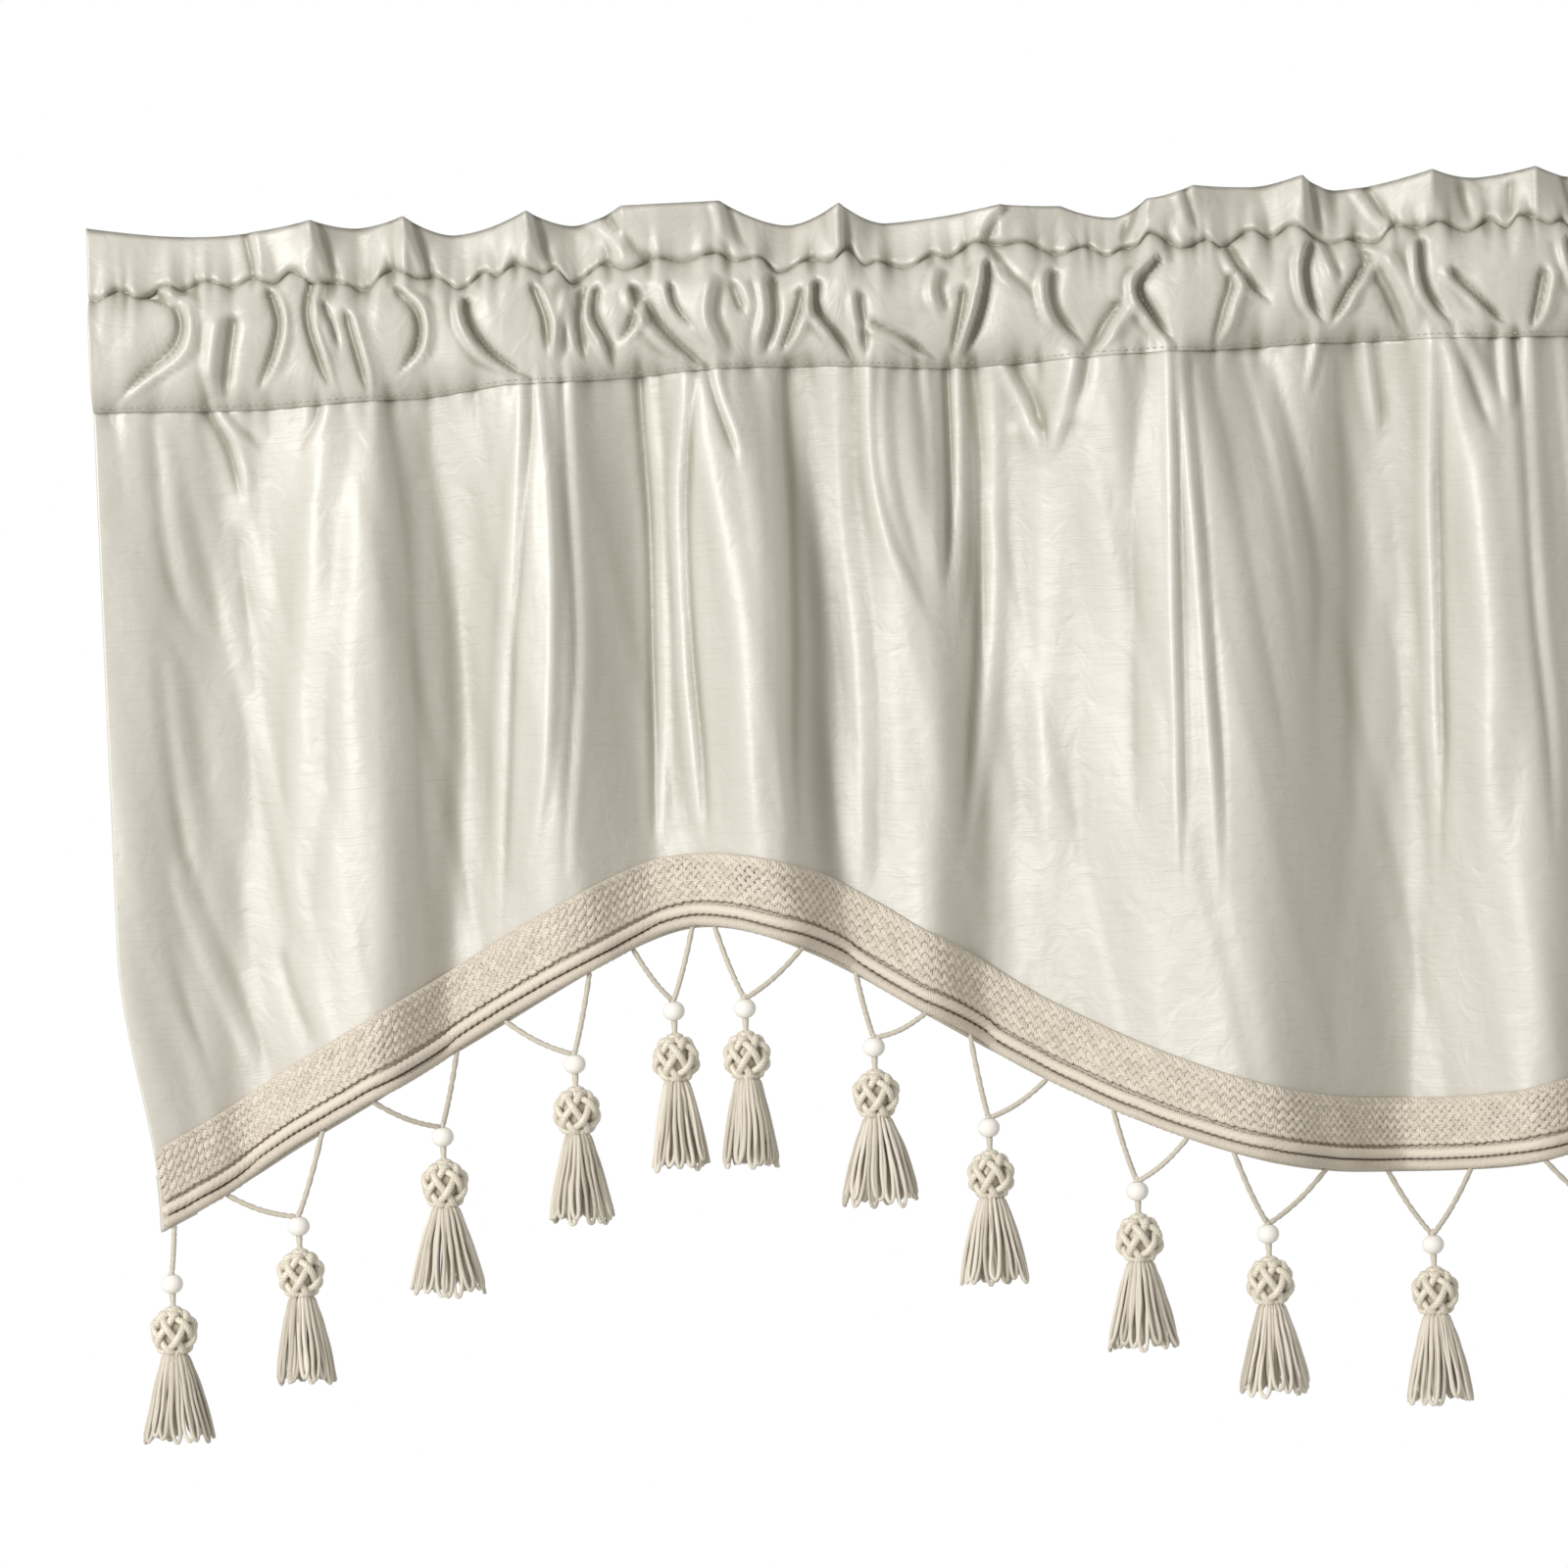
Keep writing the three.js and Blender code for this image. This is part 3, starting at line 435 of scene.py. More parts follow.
class BraidSettings(bpy.types.PropertyGroup):
    """Sizes and colours of the braid, with the painted shade between its strands."""

    strands: IntProperty(
        name="Strands", description="How many yarns are plaited across the braid", default=10)
    turn: FloatProperty(
        name="Plait Length", description="Length in which a yarn crosses the braid and comes back",
        default=0.044, unit="LENGTH")
    rope: FloatProperty(
        name="Rope Radius", description="Radius of the two ropes along the lower edge",
        default=0.0026, unit="LENGTH")
    yarn: FloatVectorProperty(
        name="Yarn", description="Colour of the plaited yarn", size=3, subtype="COLOR",
        default=(0.75, 0.68, 0.585))
    # Painted shade: the colour of the tape seen between the strands and of the grooves between plies,
    # standing in for the shade there.
    deep: FloatVectorProperty(
        name="Deep Yarn", description="Colour of the yarn down between the strands", size=3,
        subtype="COLOR", default=(0.46, 0.41, 0.33))


class TasselSettings(bpy.types.PropertyGroup):
    """Sizes and colours of the tassels and their pearls, with the painted shade in their gaps."""

    cord: FloatProperty(
        name="Cord Radius", description="Radius of a hanging cord", default=0.0013, unit="LENGTH")
    knot_cord: FloatProperty(
        name="Knot Cord Radius", description="Radius of the cord that the ball is wound from",
        default=0.0017, unit="LENGTH")
    ball: FloatProperty(
        name="Ball Radius", description="Radius of the knotted ball", default=0.0113,
        unit="LENGTH")
    loops: IntProperty(
        name="Loops", description="How many corded loops stand around a skirt", default=20)
    yarn: FloatVectorProperty(
        name="Yarn", description="Colour of the tassel yarn", size=3, subtype="COLOR",
        default=(0.88, 0.81, 0.71))
    knot: FloatVectorProperty(
        name="Knot Yarn", description="Colour of the glossy cord of the ball", size=3,
        subtype="COLOR", default=(0.84, 0.78, 0.67))
    # Painted shade: the colour of the ball's core, the skirt's inner loops and the grooves between
    # plies, standing in for the shade down in the gaps.
    deep: FloatVectorProperty(
        name="Deep Yarn", description="Colour of the yarn down in the gaps", size=3,
        subtype="COLOR", default=(0.37, 0.32, 0.24))
    pearl: FloatVectorProperty(
        name="Pearl", description="Colour of the pearls", size=3, subtype="COLOR",
        default=(0.62, 0.60, 0.54))


class StageSettings(bpy.types.PropertyGroup):
    """The camera, the light and the floor."""

    distance: FloatProperty(
        name="Distance", description="How far the camera stands from the valance", default=3.0,
        unit="LENGTH")
    view_width: FloatProperty(
        name="View Width", description="How much of the valance's plane the picture is wide",
        default=0.7144, unit="LENGTH")
    roll: FloatProperty(
        name="Roll", description="How far the camera leans to the right",
        default=math.radians(2.5), unit="ROTATION")
    key: FloatProperty(
        name="Key Light", description="Power of the soft light on the left, in watts",
        default=120.0)
    fill: FloatProperty(
        name="Fill", description="Strength of the light from all round", default=0.58)


# Curves and waves

def ease(t):
    """0 to 1 with an even start and stop: 3t squared less 2t cubed, held outside 0 to 1."""
    s = np.clip(t, 0, 1)
    return s * s * (3 - 2 * s)


def opening(t):
    """0 to 1 with a quick start and a slow end, as gathered cloth opens under its seam."""
    return 1 - (1 - np.clip(t, 0, 1)) ** 3


def folded(rows, values, place):
    """The first value, and from each row to the next the difference times its eased share."""
    out = np.zeros_like(place) + values[0]
    for k in range(len(values) - 1):
        out = out + (values[k + 1] - values[k]) * ease((place - rows[k]) / (rows[k + 1] - rows[k]))
    return out


def between(rows, place):
    """The row before each place, and the share of the way from there to the next row."""
    k = np.clip(np.searchsorted(rows, place) - 1, 0, len(rows) - 2)
    return k, np.clip((place - rows[k]) / (rows[k + 1] - rows[k]), 0, 1)


def peaked(rows, values, place):
    """Like folded, with round lows and pointed highs: the rise from a low is t to the 1.7."""
    rows, values = np.array(rows, float), np.array(values, float)
    k, t = between(rows, place)
    low, high = np.minimum(values[k], values[k + 1]), np.maximum(values[k], values[k + 1])
    rise = np.where(values[k + 1] > values[k], t, 1 - t)
    return low + (high - low) * rise**1.7


def curved(rows, values, place):
    """A cubic through the rows whose slope at a row is that between its two neighbours, and which
    is level at the first row."""
    rows, values = np.array(rows, float), np.array(values, float)
    k, t = between(rows, place)
    span = rows[k + 1] - rows[k]
    order = np.arange(len(rows))
    before, after = np.maximum(order - 1, 0), np.minimum(order + 1, len(rows) - 1)
    slope = (values[after] - values[before]) / (rows[after] - rows[before])
    slope[0] = 0
    return (
        (2 * t**3 - 3 * t**2 + 1) * values[k]
        + (t**3 - 2 * t**2 + t) * span * slope[k]
        + (3 * t**2 - 2 * t**3) * values[k + 1]
        + (t**3 - t**2) * span * slope[k + 1]
    )


def wander(place, pitch, seed):
    """Values from -1 to 1 at random places about a pitch apart, eased from one to the next."""
    rng = np.random.default_rng(seed)
    count = int(2.4 * HALF_WIDTH / pitch)
    steps = pitch * rng.uniform(0.55, 1.45, count)
    rows = np.cumsum(steps) - 1.15 * HALF_WIDTH
    values = rng.uniform(0.35, 1, count) * np.where(np.arange(count) % 2, 1, -1)
    k, t = between(rows, place)
    return values[k] + (values[k + 1] - values[k]) * ease(t)


def unit(vectors):
    """Each vector divided by its length."""
    return vectors / np.maximum(np.linalg.norm(vectors, axis=-1, keepdims=True), 1e-9)


def mirrored(rows, fields=("at",)):
    """The rows of the left half turned over to the right half, in order from the middle out."""
    turned = [row._replace(**{name: -getattr(row, name) for name in fields}) for row in rows]
    return tuple(reversed(turned))


def both_sides(creases):
    """The creases, and those left of the middle part again on the right in a mirror."""
    turned = []
    for crease in creases:
        if crease.at[0] < -MIDDLE_REACH:
            path = tuple(-x for x in crease.at)
            turned.append(crease._replace(at=path, ridge=-crease.ridge))
    return tuple(creases) + tuple(turned)


RUFFLE = RUFFLE_LEFT + RUFFLE_MIDDLE + mirrored(RUFFLE_LEFT)
FOLDS = FOLDS_LEFT + FOLDS_MIDDLE + mirrored(FOLDS_LEFT, ("seam_at", "middle_at", "low_at"))


# The cloth's shape

def relief(creases, x, drop):
    """How far the creases move the cloth out: for each a narrow trough in a shallow wide one, with a
    rounded ridge beside it, faded in over a few millimetres and out over the last of its length."""
    out = np.zeros(np.broadcast(x, drop).shape)
    step = 0.05
    for crease in creases:
        along = (drop - crease.top) / (crease.foot - crease.top)
        steps = np.arange(len(crease.at))
        place = np.clip(along, 0, 1) * steps[-1]
        middle = curved(steps, crease.at, place)
        ahead = curved(steps, crease.at, np.minimum(place + step, steps[-1]))
        slope = (ahead - middle) * steps[-1] / (step * (crease.foot - crease.top))
        fade = ease((drop - crease.top) / CREASE_START) * ease((1 - along) / CREASE_END)
        s = (x - middle) / (crease.width * (0.55 + 0.45 * fade) * np.sqrt(1 + slope * slope))
        trough = 0.72 * np.exp(-np.abs(s / 0.45) ** 1.7) + 0.28 * np.exp(-s * s / 3)
        ridge = 0.55 * np.exp(-((s * crease.ridge - 1.05) ** 2) / 0.24)
        out += crease.depth * fade * (ridge - trough)
    return out * ease((HALF_WIDTH + 2 - np.abs(x)) / 9)


def seam_drop(x):
    """The drop of the seam between the pocket and the panel."""
    return folded(SEAM["at"], SEAM["drop"], x)


def hem_drop(x):
    """The drop of the waved lower edge."""
    return curved(HEM["at"], HEM["drop"], np.abs(x))


def braid_top(x):
    """The braid's upper edge, its width away square to the lower edge."""
    step = 4
    slope = (hem_drop(x + step) - hem_drop(x - step)) / (2 * step)
    return hem_drop(x) - BRAID_WIDTH * np.sqrt(1 + slope * slope)


def off_edges(x, drop, side, reach, foot):
    """0 up to a distance from the side edges and another from the lower one, eased to 1 inside."""
    return ease((HALF_WIDTH - side - np.abs(x)) / reach) * ease((hem_drop(x) - foot - drop) / 24)


def seam_gathers(x, off):
    """The pleats that the seam takes in, as two sets of uneven waves that die out away from it."""
    return 1.7 * wander(x, 12, 3) * np.exp(-off / 26) + 0.8 * wander(x, 5, 4) * np.exp(-off / 9)


def panel_out(x, drop, creased=True):
    """How far the panel's front stands out: its folds eased from place to place and blended from
    the seam to halfway down and to the low part, the short folds, the creases and the gathers."""
    seam = seam_drop(x)
    to_middle = opening((drop - seam) / (MIDDLE_DROP - seam))
    to_low = ease((drop - MIDDLE_DROP) / (LOW_DROP - MIDDLE_DROP))

    def blend(top, middle, low):
        """A fold's value on its way from the seam to its middle and low place."""
        return top + (middle - top) * to_middle + (low - middle) * to_low

    rows = [blend(fold.seam_at, fold.middle_at, fold.low_at) for fold in FOLDS]
    values = [blend(fold.seam_out, fold.middle_out, fold.low_out) for fold in FOLDS]
    out = folded(rows, values, x)
    for fold in SHORT_FOLDS:
        down = (drop - seam) / (fold.ends - seam)
        off = (x - fold.at - fold.lean * down) / fold.half_width
        out = out + fold.out * (1 - ease(down)) * np.exp(-off * off)
    if creased:
        kept = off_edges(x, drop, side=18, reach=14, foot=35)
        out = out + kept * relief(both_sides(PANEL_CREASES), x, drop)
    out = out + seam_gathers(x, np.maximum(drop - seam, 0))
    rumple = 0.9 * wander(x + 0.12 * drop, 23, 5) + 0.4 * wander(x - 0.2 * drop, 11, 6)
    return out + ease((drop - seam) / 60) * rumple


def panel_point(x, drop, creased=True):
    """The panel's front at a place across and down, with the side edges curled in low down."""
    low = ease((drop - EDGE_CURL_FROM) / (EDGE_CURL_TO - EDGE_CURL_FROM))
    side = ease((np.abs(x) - HALF_WIDTH + EDGE_CURL_REACH) / EDGE_CURL_REACH)
    across = x - np.sign(x) * EDGE_CURL * low * side
    return np.stack([across, -panel_out(x, drop, creased), -drop], axis=-1)


def panel_normal(x, drop):
    """The direction square to the panel's plain front, towards the room."""
    step = 0.7
    across = panel_point(x + step, drop, False) - panel_point(x - step, drop, False)
    down = panel_point(x, drop + step, False) - panel_point(x, drop - step, False)
    return unit(np.cross(down, across))


def turned_hem(length, edge, radius):
    """A line that runs flat up to an edge, turns back round a half circle and lies behind itself:
    where it is, and how deep behind the front."""
    past = length - (edge - radius)
    half_turn = math.pi * radius
    angle = np.clip(past, 0, half_turn) / radius
    back = np.maximum(past - half_turn, 0)
    place = np.minimum(length, edge - radius) + radius * np.sin(angle) - back
    return place, radius * (1 - np.cos(angle))


# Meshes

def grid_faces(rows, columns, start=0, turned=False):
    """The four-sided faces between a grid's rows, which run down, and columns, which run right."""
    at = np.arange(rows * columns).reshape(rows, columns) + start
    faces = np.stack([at[:-1, :-1], at[1:, :-1], at[1:, 1:], at[:-1, 1:]], axis=-1).reshape(-1, 4)
    return faces[:, ::-1] if turned else faces


def ladder_faces(first, second):
    """The four-sided faces between two lines of points, the first above when the second is below."""
    return np.stack([first[:-1], second[:-1], second[1:], first[1:]], axis=-1)


def fan_faces(coarse, fine, keep):
    """The three-sided faces between a coarse row and the fine row below it, whose kept points stand
    under those of the coarse row."""
    middle = np.ceil((keep[:-1] + keep[1:] - 1) / 2).astype(int)
    step = np.arange(len(fine) - 1)
    segment = np.searchsorted(keep, step, side="right") - 1
    owner = np.where(step < middle[segment], segment, segment + 1)
    fans = np.stack([coarse[owner], fine[step], fine[step + 1]], axis=-1)
    between = np.stack([coarse[:-1], fine[middle], coarse[1:]], axis=-1)
    return np.concatenate([fans, between])


def ring_faces(at):
    """The four-sided faces between rings of points that follow one another: the last axis of the
    points' numbers runs round a ring, the one before it from ring to ring."""
    after = np.roll(at, -1, axis=-1)
    corners = [at[..., :-1, :], at[..., 1:, :], after[..., 1:, :], after[..., :-1, :]]
    return np.stack(corners, axis=-1).reshape(-1, 4)


def mesh_object(name, points, groups, materials, coordinates=None, tone=None, slots=None):
    """An object of a mesh in metres from arrays of points in millimetres and groups of faces with
    the same number of sides, with its own UV map in metres and a tone for each point."""
    mesh = bpy.data.meshes.new(name)
    corners = np.concatenate([faces.ravel() for faces in groups])
    sides = np.concatenate([np.full(len(faces), faces.shape[1]) for faces in groups])
    mesh.vertices.add(len(points))
    mesh.vertices.foreach_set("co", (points * MM).astype(np.float32).ravel())
    mesh.loops.add(len(corners))
    mesh.loops.foreach_set("vertex_index", corners.astype(np.int32))
    mesh.polygons.add(len(sides))
    mesh.polygons.foreach_set("loop_start", (np.cumsum(sides) - sides).astype(np.int32))
    mesh.update(calc_edges=True)
    mesh.polygons.foreach_set("use_smooth", np.ones(len(sides), bool))
    for material in materials:
        mesh.materials.append(material)
    if slots is not None:
        mesh.polygons.foreach_set("material_index", slots.astype(np.int32))
    if coordinates is not None:
        layer = mesh.uv_layers.new(name="cloth")
        spread = (coordinates * MM)[corners].astype(np.float32)
        layer.data.foreach_set("uv", spread.ravel())
    if tone is not None:
        shade = mesh.attributes.new("tone", "FLOAT", "POINT")
        shade.data.foreach_set("value", tone.astype(np.float32))
    mesh.validate()
    made = bpy.data.objects.new(name, mesh)
    bpy.context.scene.collection.objects.link(made)
    return made


class Parts:
    """Shapes that are gathered into one mesh, each with its own tone and material slot."""

    def __init__(self):
        self.points, self.faces, self.coordinates, self.tones, self.slots = [], [], [], [], []
        self.count = 0

    def add(self, shape, tone, slot=0):
        """Take up a shape, which is its points, faces and cloth coordinates."""
        points, faces, coordinates = shape
        self.points.append(points)
        self.faces.append(faces + self.count)
        self.coordinates.append(coordinates)
        self.tones.append(np.zeros(len(points)) + tone)
        self.slots.append(np.full(len(faces), slot))
        self.count += len(points)

    def made(self, name, materials):
        """The object of all the shapes."""
        return mesh_object(
            name,
            np.concatenate(self.points),
            [np.concatenate(self.faces)],
            materials,
            np.concatenate(self.coordinates),
            np.concatenate(self.tones),
            np.concatenate(self.slots),
        )


def arc_length(path):
    """How far along a path each of its points lies."""
    steps = np.linalg.norm(np.diff(path, axis=0), axis=1)
    return np.concatenate([[0], np.cumsum(steps)])


def swept(path, facing, width, depth, sides, closed=False, plies=0, twist=12.0):
    """A rope carried along a path: each ring is an oval of a width across the facing direction and a
    depth along it, drawn in by a quarter between its plies, which turn once in a twist's length. Its
    ends run to a point, or meet where it is closed."""
    if closed:
        along = unit(np.roll(path, -1, axis=0) - np.roll(path, 1, axis=0))
    else:
        along = unit(np.gradient(path, axis=0))
    across = unit(np.cross(along, facing))
    up = np.cross(across, along)
    count = len(path)
    length = arc_length(path)
    turn = np.linspace(0, 2 * math.pi, sides, endpoint=False)[None, :]
    pinch = 1.0
    if plies:
        wave = np.abs(np.cos(plies * 0.5 * (turn - 2 * math.pi * length[:, None] / twist)))
        pinch = 0.74 + 0.26 * wave
    size = np.ones(count)
    if not closed:
        size[0] = size[-1] = 0.05
    sideways = (size[:, None] * pinch * np.cos(turn) * width)[..., None]
    outward = (size[:, None] * pinch * np.sin(turn) * depth)[..., None]
    rings = path[:, None, :] + sideways * across[:, None, :] + outward * up[:, None, :]
    points = rings.reshape(-1, 3)
    at = np.arange(count * sides).reshape(count, sides)
    faces = ring_faces(np.concatenate([at, at[:1]]) if closed else at)
    around = turn / (2 * math.pi) * 6
    coordinates = np.stack(np.broadcast_arrays(around, length[:, None]), axis=-1)
    return points, faces, coordinates.reshape(-1, 2)


def closed_sheet(name, front, back, keep, coordinates, tone, materials):
    """A fine front grid, a back grid that has only the columns kept, and the rim between them."""
    rows, columns = front.shape[:2]
    points = np.concatenate([front.reshape(-1, 3), back.reshape(-1, 3)])
    outer = np.arange(rows * columns).reshape(rows, columns)
    inner = rows * columns + np.arange(rows * len(keep)).reshape(rows, len(keep))
    groups = [
        grid_faces(rows, columns),
        grid_faces(rows, len(keep), rows * columns, turned=True),
        fan_faces(inner[0], outer[0], keep),
        fan_faces(inner[-1], outer[-1], keep)[:, ::-1],
        ladder_faces(outer[:, 0], inner[:, 0]),
        ladder_faces(outer[:, -1], inner[:, -1])[:, ::-1],
    ]
    both = np.concatenate([coordinates.reshape(-1, 2), coordinates[:, keep].reshape(-1, 2)])
    tones = np.concatenate([tone.ravel(), np.zeros(inner.size)])
    return mesh_object(name, points, groups, materials, both, tones)


def grid_normal(points):
    """The direction square to a grid of points, from the steps to its neighbours."""
    down = np.gradient(points, axis=0)
    across = np.gradient(points, axis=1)
    return unit(np.cross(down, across))


def cavity(points, reach, depth):
    """How deep each point of a grid lies behind the mean of its neighbours along the row: from -1 on
    a ridge to 1 in a trough of the depth given."""
    out = -points[..., 1]
    padded = np.pad(out, ((0, 0), (reach, reach)), mode="edge")
    total = np.pad(np.cumsum(padded, axis=1), ((0, 0), (1, 0)))
    width = 2 * reach + 1
    mean = (total[:, width:] - total[:, :-width]) / width
    return np.clip((mean - out) / depth, -1, 1)


def grid_coordinates(points, row):
    """Cloth coordinates: the arc length across, taken along one row, and that down each column."""
    across = arc_length(points[row])
    down = np.concatenate([
        np.zeros((1, points.shape[1])),
        np.cumsum(np.linalg.norm(np.diff(points, axis=0), axis=-1), axis=0),
    ])
    return np.stack([np.broadcast_to(across, down.shape), down], axis=-1)


# The pieces

def heading_lines(x):
    """The heading's lines at each place across: the ruffle's lean and tip, the stitch line with its
    small zigzag, the seam, and how far the panel stands out at the seam."""
    at = [fold.at for fold in RUFFLE]
    lean = RUFFLE_LEAN * peaked(at, [fold.out for fold in RUFFLE], x)
    tip = -peaked(at, [-fold.dip for fold in RUFFLE], x)
    stitch = STITCH_DROP + folded(at, [fold.stitch for fold in RUFFLE], x)
    stitch = stitch + STITCH_ZIGZAG * wander(x, 10, 14)
    seam = seam_drop(x)
    return lean, tip, stitch, seam, panel_out(x, seam)


def pocket_bulge(share):
    """The pocket's swell: 0 at the stitch line and the seam, with round shoulders and a flat face."""
    return (1 - np.abs(2 * share - 1) ** 3) ** 0.75


def stitch_gathers(x, off):
    """The small pleats that the stitch line takes in, which die out away from it."""
    return (2.4 * wander(x, 9, 7) + 1.2 * wander(x, 4.5, 8)) * np.exp(-off / 7)


def ruffle_side(x, share_down, side):
    """Points on the ruffle's front (side -1) or back (side 1), at a share of the way down. Its
    middle stands out by its lean, less towards the stitch line, where its foot laps over the
    groove, and by its creases."""
    lean, tip, stitch, _, _ = heading_lines(x)
    drop = tip + (stitch - tip) * share_down
    off = stitch - drop
    stand = lean * (1 - (1 - RUFFLE_FOOT_LEAN) * share_down ** 1.15)
    lap = RUFFLE_LAP * (np.exp(-off / 7) - np.exp(-off / 1.3))
    rumple = 0.9 * wander(x + 0.3 * drop, 15, 9) * (1 - share_down)
    creased = relief(both_sides(RUFFLE_CREASES), x, drop) + stitch_gathers(x, off)
    middle = stand + lap + rumple + creased
    return np.stack([x, side * RUFFLE_HALF_GAP - middle, -drop], axis=-1)


def pocket_front(x, share_down, creased=1.0):
    """Points on the pocket's front at a share of the way down: it goes from the ruffle's foot to
    the seam and swells out between them, with a share of its creases and gathers."""
    lean, _, stitch, seam, seam_out = heading_lines(x)
    drop = stitch + (seam + SEAM_LAP - stitch) * share_down
    bulge = pocket_bulge(share_down)
    foot = lean * RUFFLE_FOOT_LEAN + RUFFLE_HALF_GAP
    seam_plain = seam_out - seam_gathers(x, 0.0) + SEAM_STEP
    flat = foot + (seam_plain - foot) * share_down
    swell = POCKET_FRONT + 1.2 * wander(x, 34, 10)
    out = flat + (swell - flat) * bulge
    out = out + creased * POCKET_CREASED * relief(both_sides(POCKET_CREASES), x, drop)
    out = out + creased * 0.5 * wander(x + 0.4 * drop, 17, 15) * bulge
    out = out + creased * stitch_gathers(x, drop - stitch)
    out = out + creased * seam_gathers(x, 2 * np.maximum(seam - drop, 0))
    return np.stack([x, -out, -drop], axis=-1)


def pocket_back(x, share_down):
    """Points on the pocket's back at a share of the way down, from the ruffle's foot to the seam
    allowance behind the panel."""
    lean, _, stitch, seam, seam_out = heading_lines(x)
    drop = stitch + (seam - stitch) * share_down
    bulge = pocket_bulge(share_down)
    flat = (RUFFLE_HALF_GAP - lean * RUFFLE_FOOT_LEAN) * (1 - share_down)
    flat = flat + (SEAM_ALLOWANCE - seam_out) * share_down
    swell = POCKET_BACK + 1.4 * wander(x, 26, 12)
    back = flat + (swell - flat) * bulge
    back = back + 1.3 * wander(x + 9 * share_down, 13, 13) * bulge
    back = back - stitch_gathers(x, drop - stitch)
    return np.stack([x, back, -drop], axis=-1)


def pocket_shares():
    """The shares of the way down where the pocket has its rows: behind from the seam up, and in
    front from the stitch line down, as cosines that set them closer at both ends."""
    back = 0.5 + 0.5 * np.cos(math.pi * np.linspace(0, 1, POCKET_BACK_ROWS, endpoint=False))
    front = 0.5 - 0.5 * np.cos(math.pi * np.linspace(0, 1, POCKET_FRONT_ROWS) ** 0.9)
    return back, front


def heading_rows(x):
    """The heading as one strip whose rows run from the seam behind up over the tip and down to the
    seam in front."""
    back, front = pocket_shares()
    ruffle = 1 - (1 - np.linspace(0, 1, RUFFLE_ROWS + 1)[1:]) ** 1.3
    return np.stack([
        *(pocket_back(x, share) for share in back),
        *(ruffle_side(x, share, 1) for share in ruffle[::-1]),
        0.5 * (ruffle_side(x, 0.0, 1) + ruffle_side(x, 0.0, -1)),
        *(ruffle_side(x, share, -1) for share in ruffle[:-1]),
        *(pocket_front(x, share) for share in front),
    ])


def pocket_inside(x, thickness):
    """The inner side of the pocket: its plain shape moved in under the creases, and by the cloth's
    thickness alone at the two open ends."""
    back, front = pocket_shares()
    behind = np.stack([pocket_back(x, share) for share in back])
    behind = behind - grid_normal(behind) * thickness
    top_behind = pocket_back(x, 0.0) + [0, -thickness, -CORNER_DROP]
    top_ahead = pocket_front(x, 0.0, creased=0) + [0, thickness, -CORNER_DROP]
    ahead = np.stack([top_ahead, *(pocket_front(x, share, creased=0) for share in front[1:])])
    under = thickness + POCKET_CREASE_ROOM * ease((HALF_WIDTH - np.abs(x)) / 14)
    ahead = ahead - grid_normal(ahead) * under[:, None]
    ahead[0] = top_ahead
    ahead[-1] = pocket_front(x, 1.0) + [0, thickness, 0]
    return np.concatenate([behind, top_behind[None], ahead])


def make_heading(settings, materials):
    """The heading's cloth: a fine outer strip, a coarse inner side of the pocket, and the edges
    between them. The ruffle's two layers are pressed together, so they have no inner side. Its tone
    paints shade into the creases, most of all into the groove under the stitch line, and a highlight
    onto the ridges."""
    x = np.linspace(-HALF_WIDTH, HALF_WIDTH, HEADING_COLUMNS * HEADING_STEP + 1)
    keep = np.arange(0, len(x), HEADING_STEP)
    front = heading_rows(x)
    coordinates = grid_coordinates(front, POCKET_BACK_ROWS + RUFFLE_ROWS // 2)
    inside = pocket_inside(x[keep], settings.thickness / MM)
    rows, columns = front.shape[:2]
    outer = np.arange(rows * columns).reshape(rows, columns)
    inner = rows * columns + np.arange(inside.shape[0] * len(keep)).reshape(-1, len(keep))
    stitch_back = POCKET_BACK_ROWS
    tip = stitch_back + RUFFLE_ROWS
    stitch_front = tip + RUFFLE_ROWS
    pocket = np.r_[0:stitch_back + 1, stitch_front:rows]
    groups = [
        grid_faces(rows, columns),
        grid_faces(inside.shape[0], len(keep), rows * columns, turned=True),
        fan_faces(inner[0], outer[0], keep),
        fan_faces(inner[-1], outer[-1], keep)[:, ::-1],
    ]
    for side, turn in ((0, 1), (-1, -1)):
        behind = outer[stitch_back:tip, side]
        ahead = outer[stitch_front:tip:-1, side]
        groups.append(ladder_faces(outer[pocket, side], inner[:, side])[:, ::turn])
        groups.append(ladder_faces(behind, ahead)[:, ::turn])
        groups.append(np.array([[behind[-1], ahead[-1], outer[tip, side]]])[:, ::turn])
    points = np.concatenate([front.reshape(-1, 3), inside.reshape(-1, 3)])
    within = coordinates[pocket][:, keep]
    both = np.concatenate([coordinates.reshape(-1, 2), within.reshape(-1, 2)])
    off = np.linalg.norm(front - front[stitch_front], axis=-1)
    # Painted shade in the creases and, darkest, in the groove under the stitch line, and painted
    # highlight on the ridges, where the tone is below 0.
    tone = np.maximum(cavity(front, reach=5, depth=1.1), 1.2 * np.exp(-off / 2.0))
    tone[:tip] = 0
    tones = np.concatenate([tone.ravel(), np.zeros(inner.size)])
    return mesh_object("heading_cloth", points, groups, materials, both, tones), coordinates


